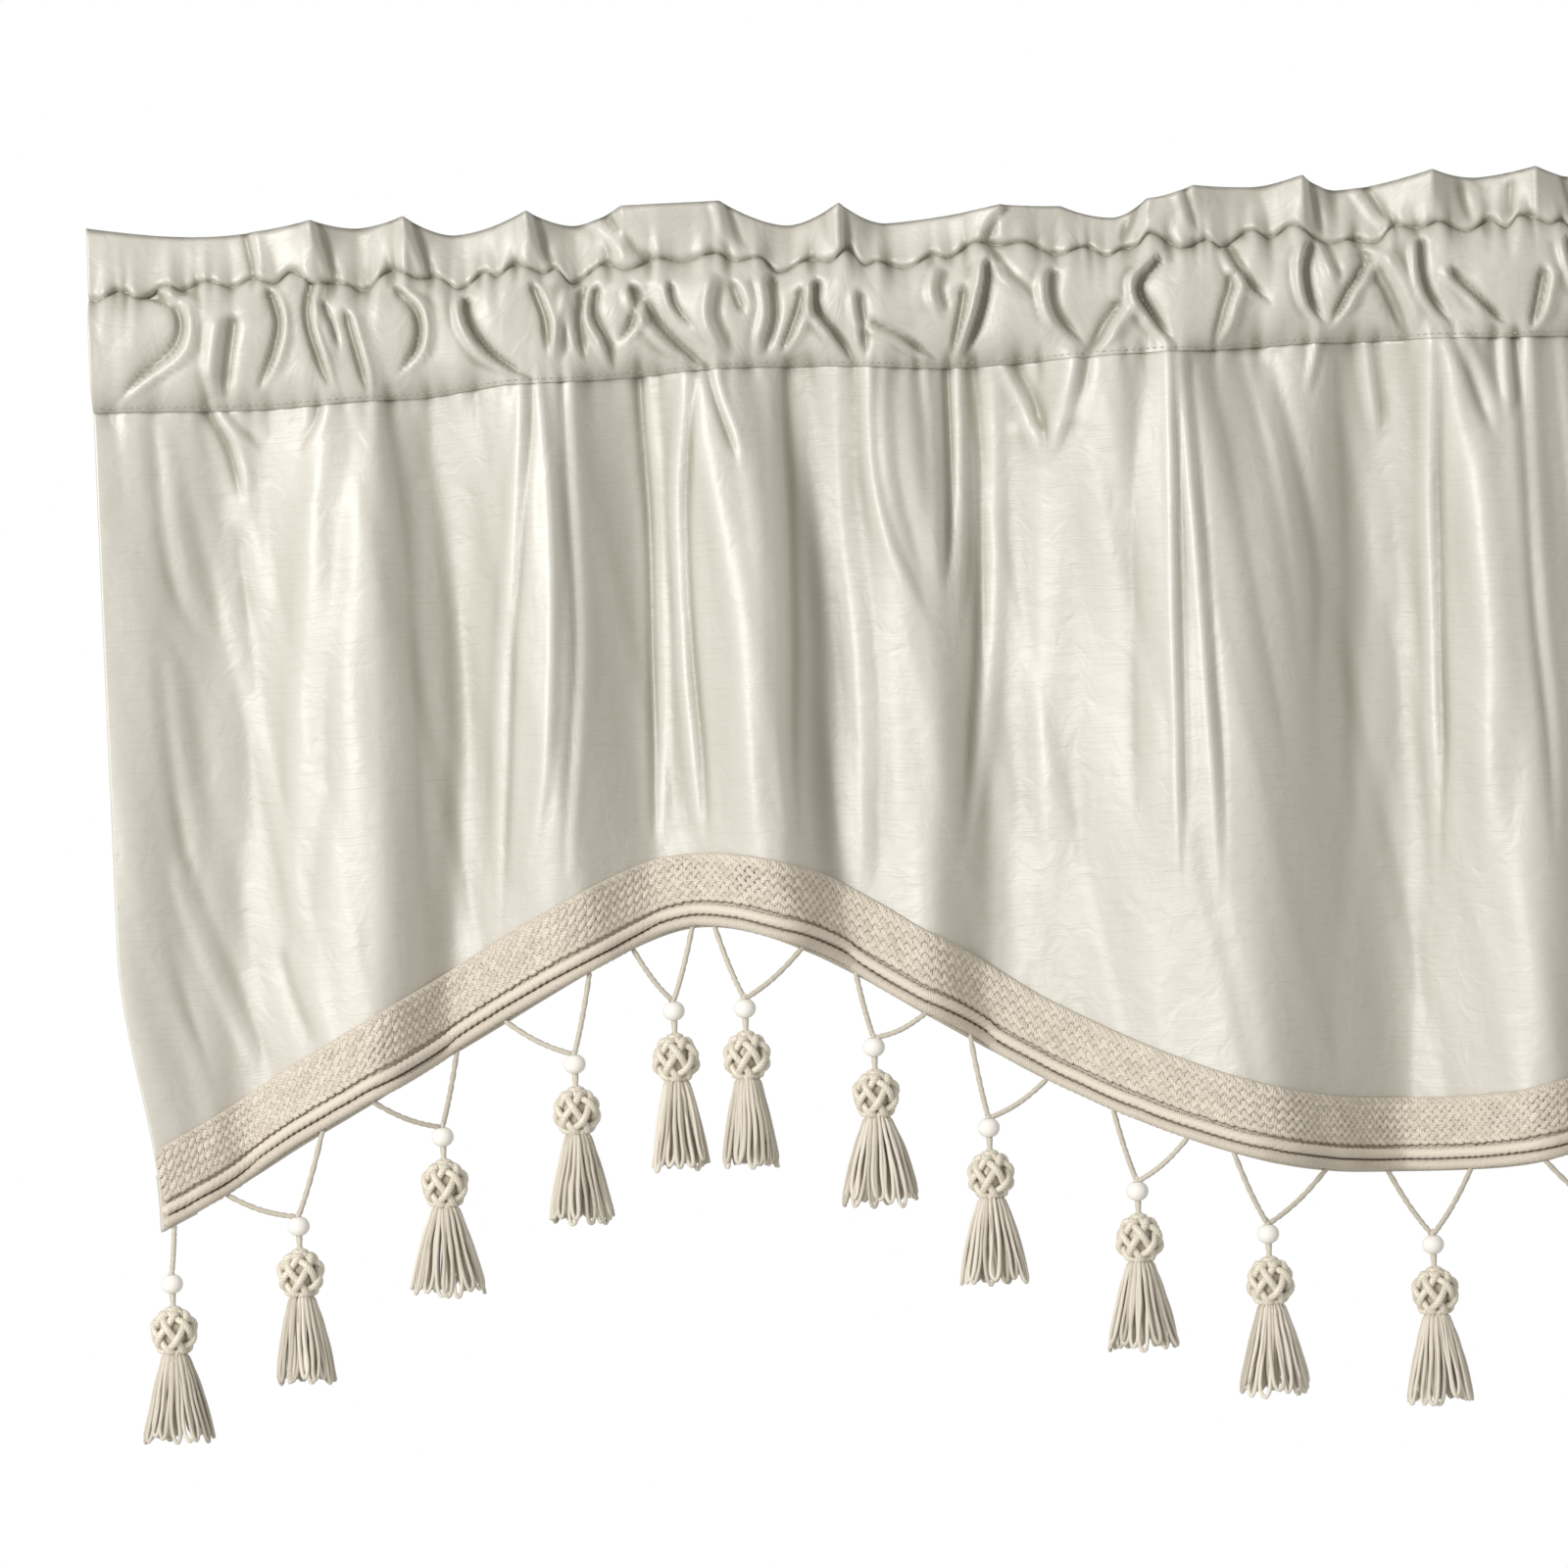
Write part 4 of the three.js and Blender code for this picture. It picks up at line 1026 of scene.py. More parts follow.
def panel_grid(settings):
    """The panel as one cloth whose side and lower hems are turned behind it: the place across and
    down of each point, how deep behind the front it lies, and which columns the back keeps."""
    radius = 0.75 * settings.thickness / MM
    side = settings.hem_width / MM
    bottom = settings.hem_height / MM
    body = np.linspace(-HALF_WIDTH, HALF_WIDTH, PANEL_COLUMNS)[2:-2]
    turn = HALF_WIDTH + np.array([-1.2, -0.4, 0.4, 1.2, 2.2, 6, 12, side])
    length = np.unique(np.round(np.concatenate([-turn[::-1], body, turn]), 3))
    across, depth_across = turned_hem(np.abs(length), HALF_WIDTH, radius)
    across = across * np.sign(length)
    share = np.concatenate([
        np.linspace(0, 0.15, 22, endpoint=False),
        np.linspace(0.15, 1, 50),
    ])
    past = np.array([-0.4, 0.4, 1.2, 2.2, 6, 12, 19, bottom])
    x = np.broadcast_to(across, (len(share) + len(past), len(length)))
    top = seam_drop(across) + SEAM_GAP
    low = hem_drop(across)
    body_down = top + (low - 1.2 - top) * share[:, None]
    hem_down, hem_depth = turned_hem(past, 0, radius)
    drop = np.concatenate([body_down, low + hem_down[:, None]])
    depth = np.concatenate([np.zeros(len(share)), hem_depth])[:, None] + depth_across[None, :]
    first, last = len(turn), len(length) - len(turn)
    keep = np.r_[0:first, first:last:PANEL_STEP, last:len(length)]
    return x, np.maximum(drop, top), depth, keep


def panel_layer(x, drop, depth, creased):
    """Points a depth behind the panel's front, which has no creases where it is turned back."""
    return panel_point(x, drop, creased) - panel_normal(x, drop) * depth[..., None]


def make_panel(settings, materials):
    """The panel's cloth: a fine front, and a coarse back that keeps clear of the creases."""
    x, drop, depth, keep = panel_grid(settings)
    front = panel_layer(x, drop, depth, True)
    x, drop = x[:, keep], drop[:, keep]
    plain = panel_layer(x, drop, depth[:, keep], False)
    room = off_edges(x, drop, side=20, reach=12, foot=30) * (depth[:, keep] == 0)
    under = settings.thickness / MM + PANEL_CREASE_ROOM * room
    back = plain - grid_normal(plain) * under[..., None]
    coordinates = grid_coordinates(front, row=40)
    # Painted shade in the creases and painted highlight on the ridges, where the tone is below 0.
    tone = cavity(front, reach=4, depth=1.6)
    piece = closed_sheet("panel_cloth", front, back, keep, coordinates, tone, materials)
    return piece, coordinates


def on_panel(x, drop, height):
    """Points a height in front of the panel's plain front."""
    return panel_point(x, drop, False) + panel_normal(x, drop) * np.asarray(height)[..., None]


def along_braid(count):
    """Places across at even steps of length along the braid's wave, and that length."""
    x = np.linspace(-HALF_WIDTH + 0.6, HALF_WIDTH - 0.6, 4 * count)
    path = np.stack([x, -panel_out(x, hem_drop(x)), -hem_drop(x)], axis=-1)
    length = arc_length(path)
    even = np.linspace(0, length[-1], count)
    return np.interp(even, length, x), even


def stitch_row(line, facing, length):
    """Sewing stitches along a line: spindles of four sides, each a stitch long with a gap after it,
    sunk by half into the cloth that faces a given way and bent as a parabola."""
    far = arc_length(line)
    begin = np.arange(0.5 * length, far[-1] - 1.5 * length, STITCH_PITCH * length)

    def at(place):
        """The line's point a distance along it."""
        return np.stack([np.interp(place, far, line[:, k]) for k in range(3)], axis=-1)

    start, end = at(begin), at(begin + length)
    across = np.cross(unit(end - start), facing)
    share = np.array([0.02, 0.25, 0.75, 0.98])
    radius = STITCH_RADIUS * np.array([0.2, 1, 1, 0.2])
    middle = start[:, None] + (end - start)[:, None] * share[:, None]
    middle = middle + facing * (0.5 * STITCH_RADIUS - 0.3 * (share - 0.5)[:, None] ** 2)
    turn = 0.5 * math.pi * np.arange(4)
    ring = np.cos(turn)[:, None] * across[:, None, None] + np.sin(turn)[:, None] * facing
    points = middle[:, :, None] + radius[None, :, None, None] * ring
    order = np.arange(points[..., 0].size).reshape(points.shape[:3])
    faces = np.concatenate([ring_faces(order), order[:, 0], order[:, -1, ::-1]])
    return points.reshape(-1, 3), faces, np.zeros((order.size, 2))


def make_stitching(settings, materials):
    """The sewing that shows: along the ruffle's foot, in front and behind, and along the seam."""
    parts = Parts()
    length = settings.stitch_length / MM
    x = np.linspace(-HALF_WIDTH + 1, HALF_WIDTH - 1, 1600)
    parts.add(stitch_row(pocket_front(x, 0.0), TOWARDS_ROOM, length), 0.4)
    parts.add(stitch_row(pocket_front(x, SEAM_STITCHES_AT), TOWARDS_ROOM, length), 0.4)
    parts.add(stitch_row(pocket_back(x, 0.0), -TOWARDS_ROOM, length), 0.4)
    return parts.made("stitching", materials)


def braid_share(x, down):
    """The drop of a place that lies a distance below the braid's upper edge, square to it."""
    top = braid_top(x)
    return top + (hem_drop(x) - top) * down / BRAID_WIDTH


def on_braid(x, down, height):
    """Points a distance below the braid's upper edge and a height in front of the panel, and the
    direction square to the panel there."""
    drop = braid_share(x, down)
    return on_panel(x, drop, height), panel_normal(x, drop)


def braid_tape(count):
    """The tape that the yarns lie on: a front with rounded long edges, a flat back and the rim
    between them."""
    x, length = along_braid(count)
    down = np.array([0, 0.4, 6, 12, 18, 24, 30, 33.2, 33.8])
    height = np.full(len(down), TAPE_HEIGHT)
    height[[0, -1]] = 0.3
    front = np.stack([on_braid(x, d, h)[0] for d, h in zip(down, height)])
    back = np.stack([on_braid(x, d, 0.25)[0] for d in down])
    rows, columns = front.shape[:2]
    outer = np.arange(rows * columns).reshape(rows, columns)
    inner = outer + rows * columns
    faces = np.concatenate([
        grid_faces(rows, columns),
        grid_faces(rows, columns, rows * columns, turned=True),
        ladder_faces(inner[0], outer[0]),
        ladder_faces(outer[-1], inner[-1]),
        ladder_faces(outer[:, 0], inner[:, 0]),
        ladder_faces(outer[:, -1], inner[:, -1])[:, ::-1],
    ])
    points = np.concatenate([front.reshape(-1, 3), back.reshape(-1, 3)])
    flat = np.stack(np.broadcast_arrays(length[None, :], down[:, None]), axis=-1).reshape(-1, 2)
    return points, faces, np.concatenate([flat, flat])


def plait_strand(k, strands, turn, x, length):
    """One yarn of the plait: it swings from edge to edge as the arc sine of a sine, and goes over
    and under the others as a cosine that changes sign with the way it runs."""
    phase = length / turn + k / strands
    swing = 2 / math.pi * np.arcsin(0.985 * np.sin(2 * math.pi * phase)) / 0.89
    way = np.cos(2 * math.pi * phase)
    way = way / (np.abs(way) + 0.12)
    lift = 0.62 * np.cos(2 * math.pi * strands * phase + math.pi / 2 * (strands % 2)) * way
    return on_braid(x, PLAIT_TOP + PLAIT_WIDTH * (0.5 + 0.5 * swing), PLAIT_HEIGHT + lift)


def make_braid(settings, materials):
    """The braid: a tape with a plait of flat yarns on it, a thin cord along its upper edge and two
    thick ropes along its lower edge."""
    parts = Parts()
    rng = np.random.default_rng(21)
    # The tape is painted nearly the deep colour: painted shade between the strands of the plait.
    parts.add(braid_tape(430), -0.6)
    turn = settings.turn / MM
    sides = 5
    x, length = along_braid(940)
    for k in range(settings.strands):
        path, facing = plait_strand(k, settings.strands, turn, x, length)
        width = 1.62 + 0.3 * wander(length - HALF_WIDTH, 14, 40 + k)
        fleck = 0.45 * wander(length - HALF_WIDTH, 7, 70 + k)
        tone = rng.uniform(-0.2, 0.5) + np.repeat(fleck, sides)
        parts.add(swept(path, facing, width[:, None], 0.62, sides), tone)
    radius = settings.rope / MM
    x, length = along_braid(1150)
    for down, tone, twist in ROPES:
        path, facing = on_braid(x, down, radius + 0.5)
        parts.add(swept(path, facing, radius, radius, 9, plies=3, twist=twist), tone, 1)
    x, length = along_braid(700)
    path, facing = on_braid(x, UPPER_CORD_DOWN, UPPER_CORD_HEIGHT)
    parts.add(swept(path, facing, 1.0, 0.9, sides), 0.0)
    return parts.made("braid_trim", materials)


def node_middle(name):
    """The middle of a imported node's box, in millimetres."""
    low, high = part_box(name)
    return 0.5 * (np.array(low) + np.array(high)) / MM


def hanging_cord(foot, end, sag, steps):
    """A straight line from foot to end, let down by a sine's worth of sag."""
    t = np.linspace(0, 1, steps)
    path = foot + (end - foot) * t[:, None]
    path[:, 2] -= sag * np.sin(math.pi * t)
    return path


def ball_windings(centre, radius, bights, leads, turn):
    """A knot wound round a ball, and the way out from its middle: the longitude goes round once for
    each lead while the latitude swings as a cosine for each bight, and the cord rises and dips so
    that it weaves over and under itself."""
    t = np.linspace(0, 2 * math.pi, 260, endpoint=False)
    longitude = leads * t + turn
    latitude = 1.12 * np.cos(bights * t)
    way = np.sin(bights * t)
    way = way / (np.abs(way) + 0.2)
    height = radius + 1.15 * np.cos(bights * leads * t) * way
    out = np.stack([
        np.cos(latitude) * np.cos(longitude),
        np.cos(latitude) * np.sin(longitude),
        1.06 * np.sin(latitude),
    ], axis=-1)
    return centre + out * height[:, None], out


def round_solid(centre, profile, sides):
    """A profile of radius and height, from its foot to its top, turned round the vertical."""
    turn = np.linspace(0, 2 * math.pi, sides, endpoint=False)
    radius, height = np.array(profile, float).T
    points = np.stack([
        radius[:, None] * np.cos(turn),
        radius[:, None] * np.sin(turn),
        np.broadcast_to(height[:, None], (len(height), sides)),
    ], axis=-1).reshape(-1, 3)
    at = np.arange(len(height) * sides).reshape(len(height), sides)
    after = np.roll(at, -1, axis=1)
    faces = np.stack([at[:-1], after[:-1], after[1:], at[1:]], axis=-1).reshape(-1, 4)
    flat = np.stack([np.broadcast_to(turn, (len(height), sides)).ravel(), points[:, 2]], axis=-1)
    return points + centre, faces, flat


def skirt_loop(ball_at, angle, spread, foot_radius, drop, rng):
    """A cord that goes down one side of the skirt, turns at the foot and comes up beside itself,
    and the way out from the middle. With s from -1 to 1 along it, it lies a distance down of drop
    times 1 less the rounded size of s, and sideways as the hyperbolic tangent of s."""
    s = np.linspace(-1, 1, 34)
    s = np.sign(s) * np.abs(s) ** 1.25
    round_end = 0.06
    share = 1 - np.sqrt(s * s + round_end**2) / math.sqrt(1 + round_end**2)
    bulge = np.sin(math.pi * share) * rng.uniform(-0.6, 1.2)
    radius = NECK_RADIUS + (foot_radius - NECK_RADIUS) * share ** 0.85 + bulge
    half = spread * (0.35 + 0.65 * share)
    sway = rng.uniform(-1.8, 1.8) * share + 0.75 * np.sin(7 * share + rng.uniform(0, 6)) * share
    aside = np.tanh(s / 0.11) * half + sway
    out = np.array([math.cos(angle), math.sin(angle), 0])
    across = np.array([-math.sin(angle), math.cos(angle), 0])
    start = ball_at + np.array([0, 0, -8.5])
    path = start + radius[:, None] * out + aside[:, None] * across
    path[:, 2] -= drop * share
    return path, out


def add_cords(parts, hanger, side, join, radius, rng):
    """The tassel's cords from the braid's foot to their join."""
    for foot in (hanger.outer, hanger.inner):
        if foot is not None:
            x = np.array([float(side * foot)])
            start = on_panel(x, hem_drop(x) - 2.0, 2.2)[0]
            path = hanging_cord(start, join + np.array([0, 0, -2.0]), CORD_SAG, 22)
            cord = swept(path, TOWARDS_ROOM, radius, radius, 8, plies=2, twist=6)
            parts.add(cord, rng.uniform(-0.6, -0.2))


def add_ball(parts, ball_at, radius, knot, rng):
    """The knotted ball: the cord wound round it, the core within, painted dark as the shade in the
    gaps, and the collar above.
    """
    turn = rng.uniform(0, 2 * math.pi)
    path, facing = ball_windings(ball_at, radius - knot - 0.6, 6, 5, turn)
    parts.add(swept(path, facing, knot, 0.92 * knot, 7, closed=True), 0.35, 1)
    # The core takes nearly the deep colour: painted shade down in the gaps between the windings.
    parts.add(round_solid(ball_at, BALL_CORE, 14), -0.9, 1)
    parts.add(round_solid(ball_at, BALL_COLLAR, 14), 0.2, 1)


def add_skirt(parts, ball_at, foot_radius, loops, rng):
    """The skirt: corded loops all round, and plain ones that fill it, painted darker as the shade
    inside the skirt.
    """
    for k in range(loops):
        angle = 2 * math.pi * (k + rng.uniform(-0.22, 0.22)) / loops
        drop = SKIRT_DROP + rng.uniform(-3.8, 1.8)
        spread = math.pi * foot_radius / loops * rng.uniform(0.75, 1.15)
        foot = foot_radius * rng.uniform(0.9, 1.03)
        path, facing = skirt_loop(ball_at, angle, spread, foot, drop, rng)
        loop = swept(path, facing, 1.02, 1.02, 6, plies=2, twist=5)
        parts.add(loop, rng.uniform(-0.7, 0.8))
    # The inner loops take nearly the deep colour: painted shade inside the skirt.
    for k in range(INNER_LOOPS):
        angle = 2 * math.pi * (k + rng.uniform(-0.3, 0.3)) / INNER_LOOPS
        path, facing = skirt_loop(ball_at, angle, 1.8, 0.55 * foot_radius, INNER_DROP, rng)
        parts.add(swept(path, facing, 1.5, 1.5, 5), rng.uniform(-1.0, -0.5))


def make_tassel(number, hanger, side, settings, materials):
    """One tassel: its cords, the stem through the pearl, the knotted ball and the looped skirt."""
    rng = np.random.default_rng(100 + number)
    parts = Parts()
    bead = node_middle(f"bead_{number:02d}")
    join = bead + np.array([0, 0, JOIN_ABOVE])
    ball_at = bead + np.array([0, 0, -BALL_BELOW])
    add_cords(parts, hanger, side, join, settings.cord / MM, rng)
    stem = np.linspace(join + [0, 0, 1.2], ball_at + [0, 0, 7], 12)
    parts.add(swept(stem, TOWARDS_ROOM, 1.5, 1.5, 8, plies=2, twist=6), -0.1)
    add_ball(parts, ball_at, settings.ball / MM, settings.knot_cord / MM, rng)
    add_skirt(parts, ball_at, hanger.skirt / 2 - 1.4, settings.loops, rng)
    return parts.made(f"tassel_yarn_{number:02d}", materials)


def make_bead(number, materials):
    """A pearl: the outline of a ball with a hole, turned round the vertical."""
    centre = node_middle(f"bead_{number:02d}")
    angle = np.linspace(-1.18, 1.18, 15)
    outer = [PEARL_RADIUS, PEARL_HALF_HEIGHT] * np.stack([np.cos(angle), np.sin(angle)], axis=-1)
    inner = outer[[-1, 0]] * [0.9, 0.93]
    profile = np.concatenate([outer, inner, outer[:1]])
    points, faces, flat = round_solid(centre, profile, 22)
    return mesh_object(f"pearl_{number:02d}", points, [faces], materials, flat)


# Materials

def feed(tree, node, inputs):
    """Give each of a node's inputs a value, or a link from a socket."""
    for name, value in inputs.items():
        if isinstance(value, bpy.types.NodeSocket):
            tree.links.new(value, node.inputs[name])
        else:
            node.inputs[name].default_value = value


def new_node(tree, kind, at, inputs=None, **settings):
    """A node at a place in the editor, with its settings and inputs."""
    made = tree.nodes.new(kind)
    made.location = at
    for name, value in settings.items():
        setattr(made, name, value)
    feed(tree, made, inputs or {})
    return made


def maths(tree, operation, values, at):
    """The result of a Math node on values or sockets."""
    node = new_node(tree, "ShaderNodeMath", at, dict(enumerate(values)), operation=operation)
    return node.outputs[0]


def noise(tree, place, scale, detail, at, distortion=0.0):
    """Noise between 0 and 1 at a place."""
    node = new_node(tree, "ShaderNodeTexNoise", at, {
        "Vector": place, "Scale": scale, "Detail": detail, "Distortion": distortion})
    return node.outputs["Fac"]


def ranged(tree, value, start, end, low, high, at, kind="LINEAR"):
    """A value's way from start to end turned into that from low to high, and held outside it."""
    node = new_node(tree, "ShaderNodeMapRange", at, {
        "Value": value, "From Min": start, "From Max": end, "To Min": low, "To Max": high,
    }, interpolation_type=kind)
    return node.outputs["Result"]


def group_of(name, inputs, outputs):
    """A shader node group with its inputs and the values that it gives, and the two nodes that
    hold them."""
    tree = bpy.data.node_groups.new(name, "ShaderNodeTree")
    for label, kind, value in inputs:
        socket = tree.interface.new_socket(name=label, in_out="INPUT", socket_type=kind)
        if value is not None:
            socket.default_value = value
    for label in outputs:
        tree.interface.new_socket(name=label, in_out="OUTPUT", socket_type="NodeSocketFloat")
    start = new_node(tree, "NodeGroupInput", (-900, 0))
    end = new_node(tree, "NodeGroupOutput", (700, 0))
    return tree, start.outputs, end


def slub_weave_group():
    """Silk with slubs: threads across that are here and there thicker, as noise drawn out along
    the weft, over the fine rib of the weave."""
    tree, given, end = group_of(
        "Slub weave",
        [("Coordinates", "NodeSocketVector", None),
         ("Slub Length", "NodeSocketFloat", 0.02),
         ("Slub Height", "NodeSocketFloat", 0.0008),
         ("Rib", "NodeSocketFloat", 0.0005)],
        ["Height", "Slubs", "Cloud", "Crinkle"],
    )
    place = given["Coordinates"]
    split = new_node(tree, "ShaderNodeSeparateXYZ", (-700, 0), {0: place})

    def scaled(width, height, at):
        """The coordinates with a width across and a height down as their units."""
        across = maths(tree, "DIVIDE", (split.outputs["X"], width), at)
        down = maths(tree, "DIVIDE", (split.outputs["Y"], height), (at[0], at[1] - 160))
        joined = new_node(
            tree, "ShaderNodeCombineXYZ", (at[0] + 180, at[1]), {0: across, 1: down})
        return joined.outputs[0]

    wide = scaled(given["Slub Length"], given["Slub Height"], (-500, 200))
    slub = noise(tree, wide, 1, 3, (-100, 200))
    slubs = ranged(tree, slub, 0.5, 0.74, 0, 1, (120, 200), "SMOOTHSTEP")
    fine = scaled(given["Slub Height"], given["Rib"], (-500, -150))
    rib = noise(tree, fine, 1, 1, (-100, -100))
    feed(tree, end, {
        "Height": maths(tree, "MULTIPLY_ADD", (rib, 0.35, slubs), (300, 0)),
        "Slubs": slubs,
        "Cloud": noise(tree, place, 14, 3, (-100, -400)),
        "Crinkle": noise(tree, place, 80, 2, (-100, -650), distortion=0.6),
    })
    return tree


def yarn_twist_group():
    """Spun yarn: plies that run round a strand as a slanted wave, with loose fibres as noise."""
    tree, given, end = group_of(
        "Yarn twist",
        [("Coordinates", "NodeSocketVector", None),
         ("Ply Pitch", "NodeSocketFloat", 0.002),
         ("Fibre", "NodeSocketFloat", 0.0004)],
        ["Height", "Groove", "Fibres"],
    )
    place = given["Coordinates"]
    split = new_node(tree, "ShaderNodeSeparateXYZ", (-700, 0), {0: place})
    slant = maths(tree, "ADD", (split.outputs["X"], split.outputs["Y"]), (-500, 100))
    turns = maths(tree, "DIVIDE", (slant, given["Ply Pitch"]), (-320, 100))
    wave = maths(tree, "PINGPONG", (turns, 0.5), (-140, 100))
    groove = ranged(tree, wave, 0, 0.35, 1, 0, (40, 100), "SMOOTHSTEP")
    longer = maths(tree, "MULTIPLY", (given["Fibre"], 6), (-850, -300))
    size = new_node(
        tree, "ShaderNodeCombineXYZ", (-700, -250), {0: given["Fibre"], 1: longer, 2: 1})
    near = new_node(
        tree, "ShaderNodeVectorMath", (-500, -200), {0: place, 1: size.outputs[0]},
        operation="DIVIDE")
    fibres = noise(tree, near.outputs[0], 1, 2, (-300, -200))
    weak = maths(tree, "MULTIPLY", (fibres, 0.5), (60, -200))
    feed(tree, end, {
        "Height": maths(tree, "MULTIPLY_ADD", (groove, -1, weak), (260, 0)),
        "Groove": groove,
        "Fibres": fibres,
    })
    return tree


def group_named(name, builder):
    """A shared node group, built the first time that a material asks for it."""
    found = bpy.data.node_groups.get(name)
    return found if found else builder()


def new_material(name):
    """A material with a bare Principled shader, and that shader."""
    material = bpy.data.materials.new(name)
    material.use_nodes = True
    tree = material.node_tree
    tree.nodes.clear()
    output = new_node(tree, "ShaderNodeOutputMaterial", (900, 0))
    shader = new_node(tree, "ShaderNodeBsdfPrincipled", (600, 0))
    tree.links.new(shader.outputs[0], output.inputs["Surface"])
    return material, tree, shader


def mixed(tree, factor, first, second, at):
    """A colour between two colours or sockets by a socket's value."""
    ends = [
        value if isinstance(value, bpy.types.NodeSocket) else (*value, 1)
        for value in (first, second)
    ]
    mix = new_node(
        tree, "ShaderNodeMix", at, {0: factor, 6: ends[0], 7: ends[1]}, data_type="RGBA")
    return mix.outputs[2]


def bumped(tree, height, shader, strength, distance, at):
    """A bump on a shader, laid over the one that it has already."""
    bump = new_node(tree, "ShaderNodeBump", at, {
        "Height": height, "Strength": strength, "Distance": distance})
    for link in shader.inputs["Normal"].links:
        tree.links.new(link.from_socket, bump.inputs["Normal"])
    tree.links.new(bump.outputs[0], shader.inputs["Normal"])


def group_on_cloth(tree, group, at, inputs):
    """What a node group gives where it is laid on the piece's own UV map."""
    uv = new_node(tree, "ShaderNodeUVMap", (at[0] - 250, at[1]), uv_map="cloth")
    node = new_node(tree, "ShaderNodeGroup", at, node_tree=group)
    feed(tree, node, {"Coordinates": uv.outputs[0], **inputs})
    return node.outputs


def tone_of(tree, at):
    """The mesh's tone: on the silk painted shade and highlight, on the yarn its own tones and painted
    shade.
    """
    return new_node(tree, "ShaderNodeAttribute", at, attribute_name="tone").outputs["Fac"]


def silk_material(name, settings):
    """Ivory silk: two close tones by the slubs and clouds, painted crease shade and ridge highlight
    by the tone, a soft satin gloss and a fine bump.
    """
    material, tree, shader = new_material(name)
    group = group_named("Slub weave", slub_weave_group)
    weave = group_on_cloth(tree, group, (-450, 0), {
        "Slub Length": 0.022, "Slub Height": 0.0011, "Rib": 0.0004})
    light = tuple(settings.light)
    dull = tuple(0.93 * c for c in light)
    cloudy = mixed(tree, weave["Cloud"], light, dull, (-150, 200))
    faint = maths(tree, "MULTIPLY", (weave["Slubs"], 0.42), (-200, 0))
    slubbed = mixed(tree, faint, cloudy, settings.shade, (100, 150))
    # Painted shade: a tone above 0 darkens the creases towards the crease colour. Painted highlight:
    # a tone below 0 lightens the ridges towards the ridge colour.
    tone = tone_of(tree, (-650, 400))
    painted_shade_share = ranged(tree, tone, 0.05, 1, 0, 0.8, (-400, 400))
    creased = mixed(tree, painted_shade_share, slubbed, settings.crease, (260, 250))
    ridge = ranged(tree, tone, 0, -1, 0, 0.5, (-400, 650))
    feed(tree, shader, {
        "Base Color": mixed(tree, ridge, creased, settings.ridge, (420, 300)),
        "Roughness": ranged(tree, weave["Cloud"], 0, 1, 0.4, 0.54, (100, -100)),
        "Specular IOR Level": 1.0,
        "Coat Weight": 0.3,
        "Coat Roughness": 0.45,
    })
    bumped(tree, weave["Crinkle"], shader, 0.42, 0.0016, (100, -350))
    bumped(tree, weave["Height"], shader, 0.25, 0.0002, (300, -250))
    return material


def yarn_material(name, light, deep, rough, ply_pitch, bump):
    """Spun yarn: the strand's tone runs from the deep colour to the light one, and painted shade
    darkens the grooves between its plies.
    """
    material, tree, shader = new_material(name)
    group = group_named("Yarn twist", yarn_twist_group)
    twist = group_on_cloth(tree, group, (-650, 0), {"Ply Pitch": ply_pitch, "Fibre": 0.0003})
    # A low tone gives the deep colour: a tone of the yarn's own on most parts, painted shade on the
    # ball's core, the braid's tape and the skirt's inner loops.
    share = ranged(tree, tone_of(tree, (-650, 300)), -1, 0.7, 0, 1, (-400, 300))
    plain = mixed(tree, share, deep, light, (-150, 300))
    # Painted shade: the grooves between the plies are darkened towards the deep colour.
    weak = maths(tree, "MULTIPLY", (twist["Groove"], 0.4), (-400, 0))
    groove_painted_shade = mixed(tree, weak, plain, deep, (60, 150))
    fibre = ranged(tree, twist["Fibres"], 0.3, 0.8, 0, 0.35, (-150, -100))
    pale = tuple(min(1.0, 1.25 * c) for c in light)
    feed(tree, shader, {
        "Base Color": mixed(tree, fibre, groove_painted_shade, pale, (260, 100)),
        "Roughness": rough,
        "Sheen Weight": 0.2,
    })
    bumped(tree, twist["Height"], shader, bump, 0.0004, (350, -250))
    return material


def clouded(tree, scale, first, second):
    """A colour between two by noise in the object's own space."""
    place = new_node(tree, "ShaderNodeTexCoord", (-600, 0)).outputs["Object"]
    return mixed(tree, noise(tree, place, scale, 2, (-400, 0)), first, second, (0, 100))


def pearl_material(name, settings):
    """A pearl: warm white clouded with grey by noise, under a thin clear coat."""
    material, tree, shader = new_material(name)
    feed(tree, shader, {
        "Base Color": clouded(tree, 300, settings.pearl, (0.47, 0.445, 0.38)),
        "Roughness": 0.22,
        "Coat Weight": 0.6,
        "Coat Roughness": 0.08,
        "Specular IOR Level": 0.6,
    })
    return material


def floor_material(name):
    """A pale plain floor with a faint cloud."""
    material, tree, shader = new_material(name)
    feed(tree, shader, {
        "Base Color": clouded(tree, 3, (0.80, 0.80, 0.79), (0.76, 0.76, 0.75)),
        "Roughness": 0.7,
    })
    return material


def material_named(name, builder, *values, **more):
    """A material by its name, built the first time that a piece asks for it."""
    found = bpy.data.materials.get(name)
    return found if found else builder(name, *values, **more)


# The stage

def make_camera(scene, settings):
    """The camera that looks straight at the valance, leant by its roll."""
    camera = bpy.data.objects.new("camera", bpy.data.cameras.new("camera"))
    camera.data.sensor_width = 36
    camera.data.lens = 36 * settings.distance / settings.view_width
    camera.location = (VIEW_CENTRE[0], -settings.distance, VIEW_CENTRE[1])
    camera.rotation_euler = (math.pi / 2, settings.roll, 0)
    scene.collection.objects.link(camera)
    scene.camera = camera


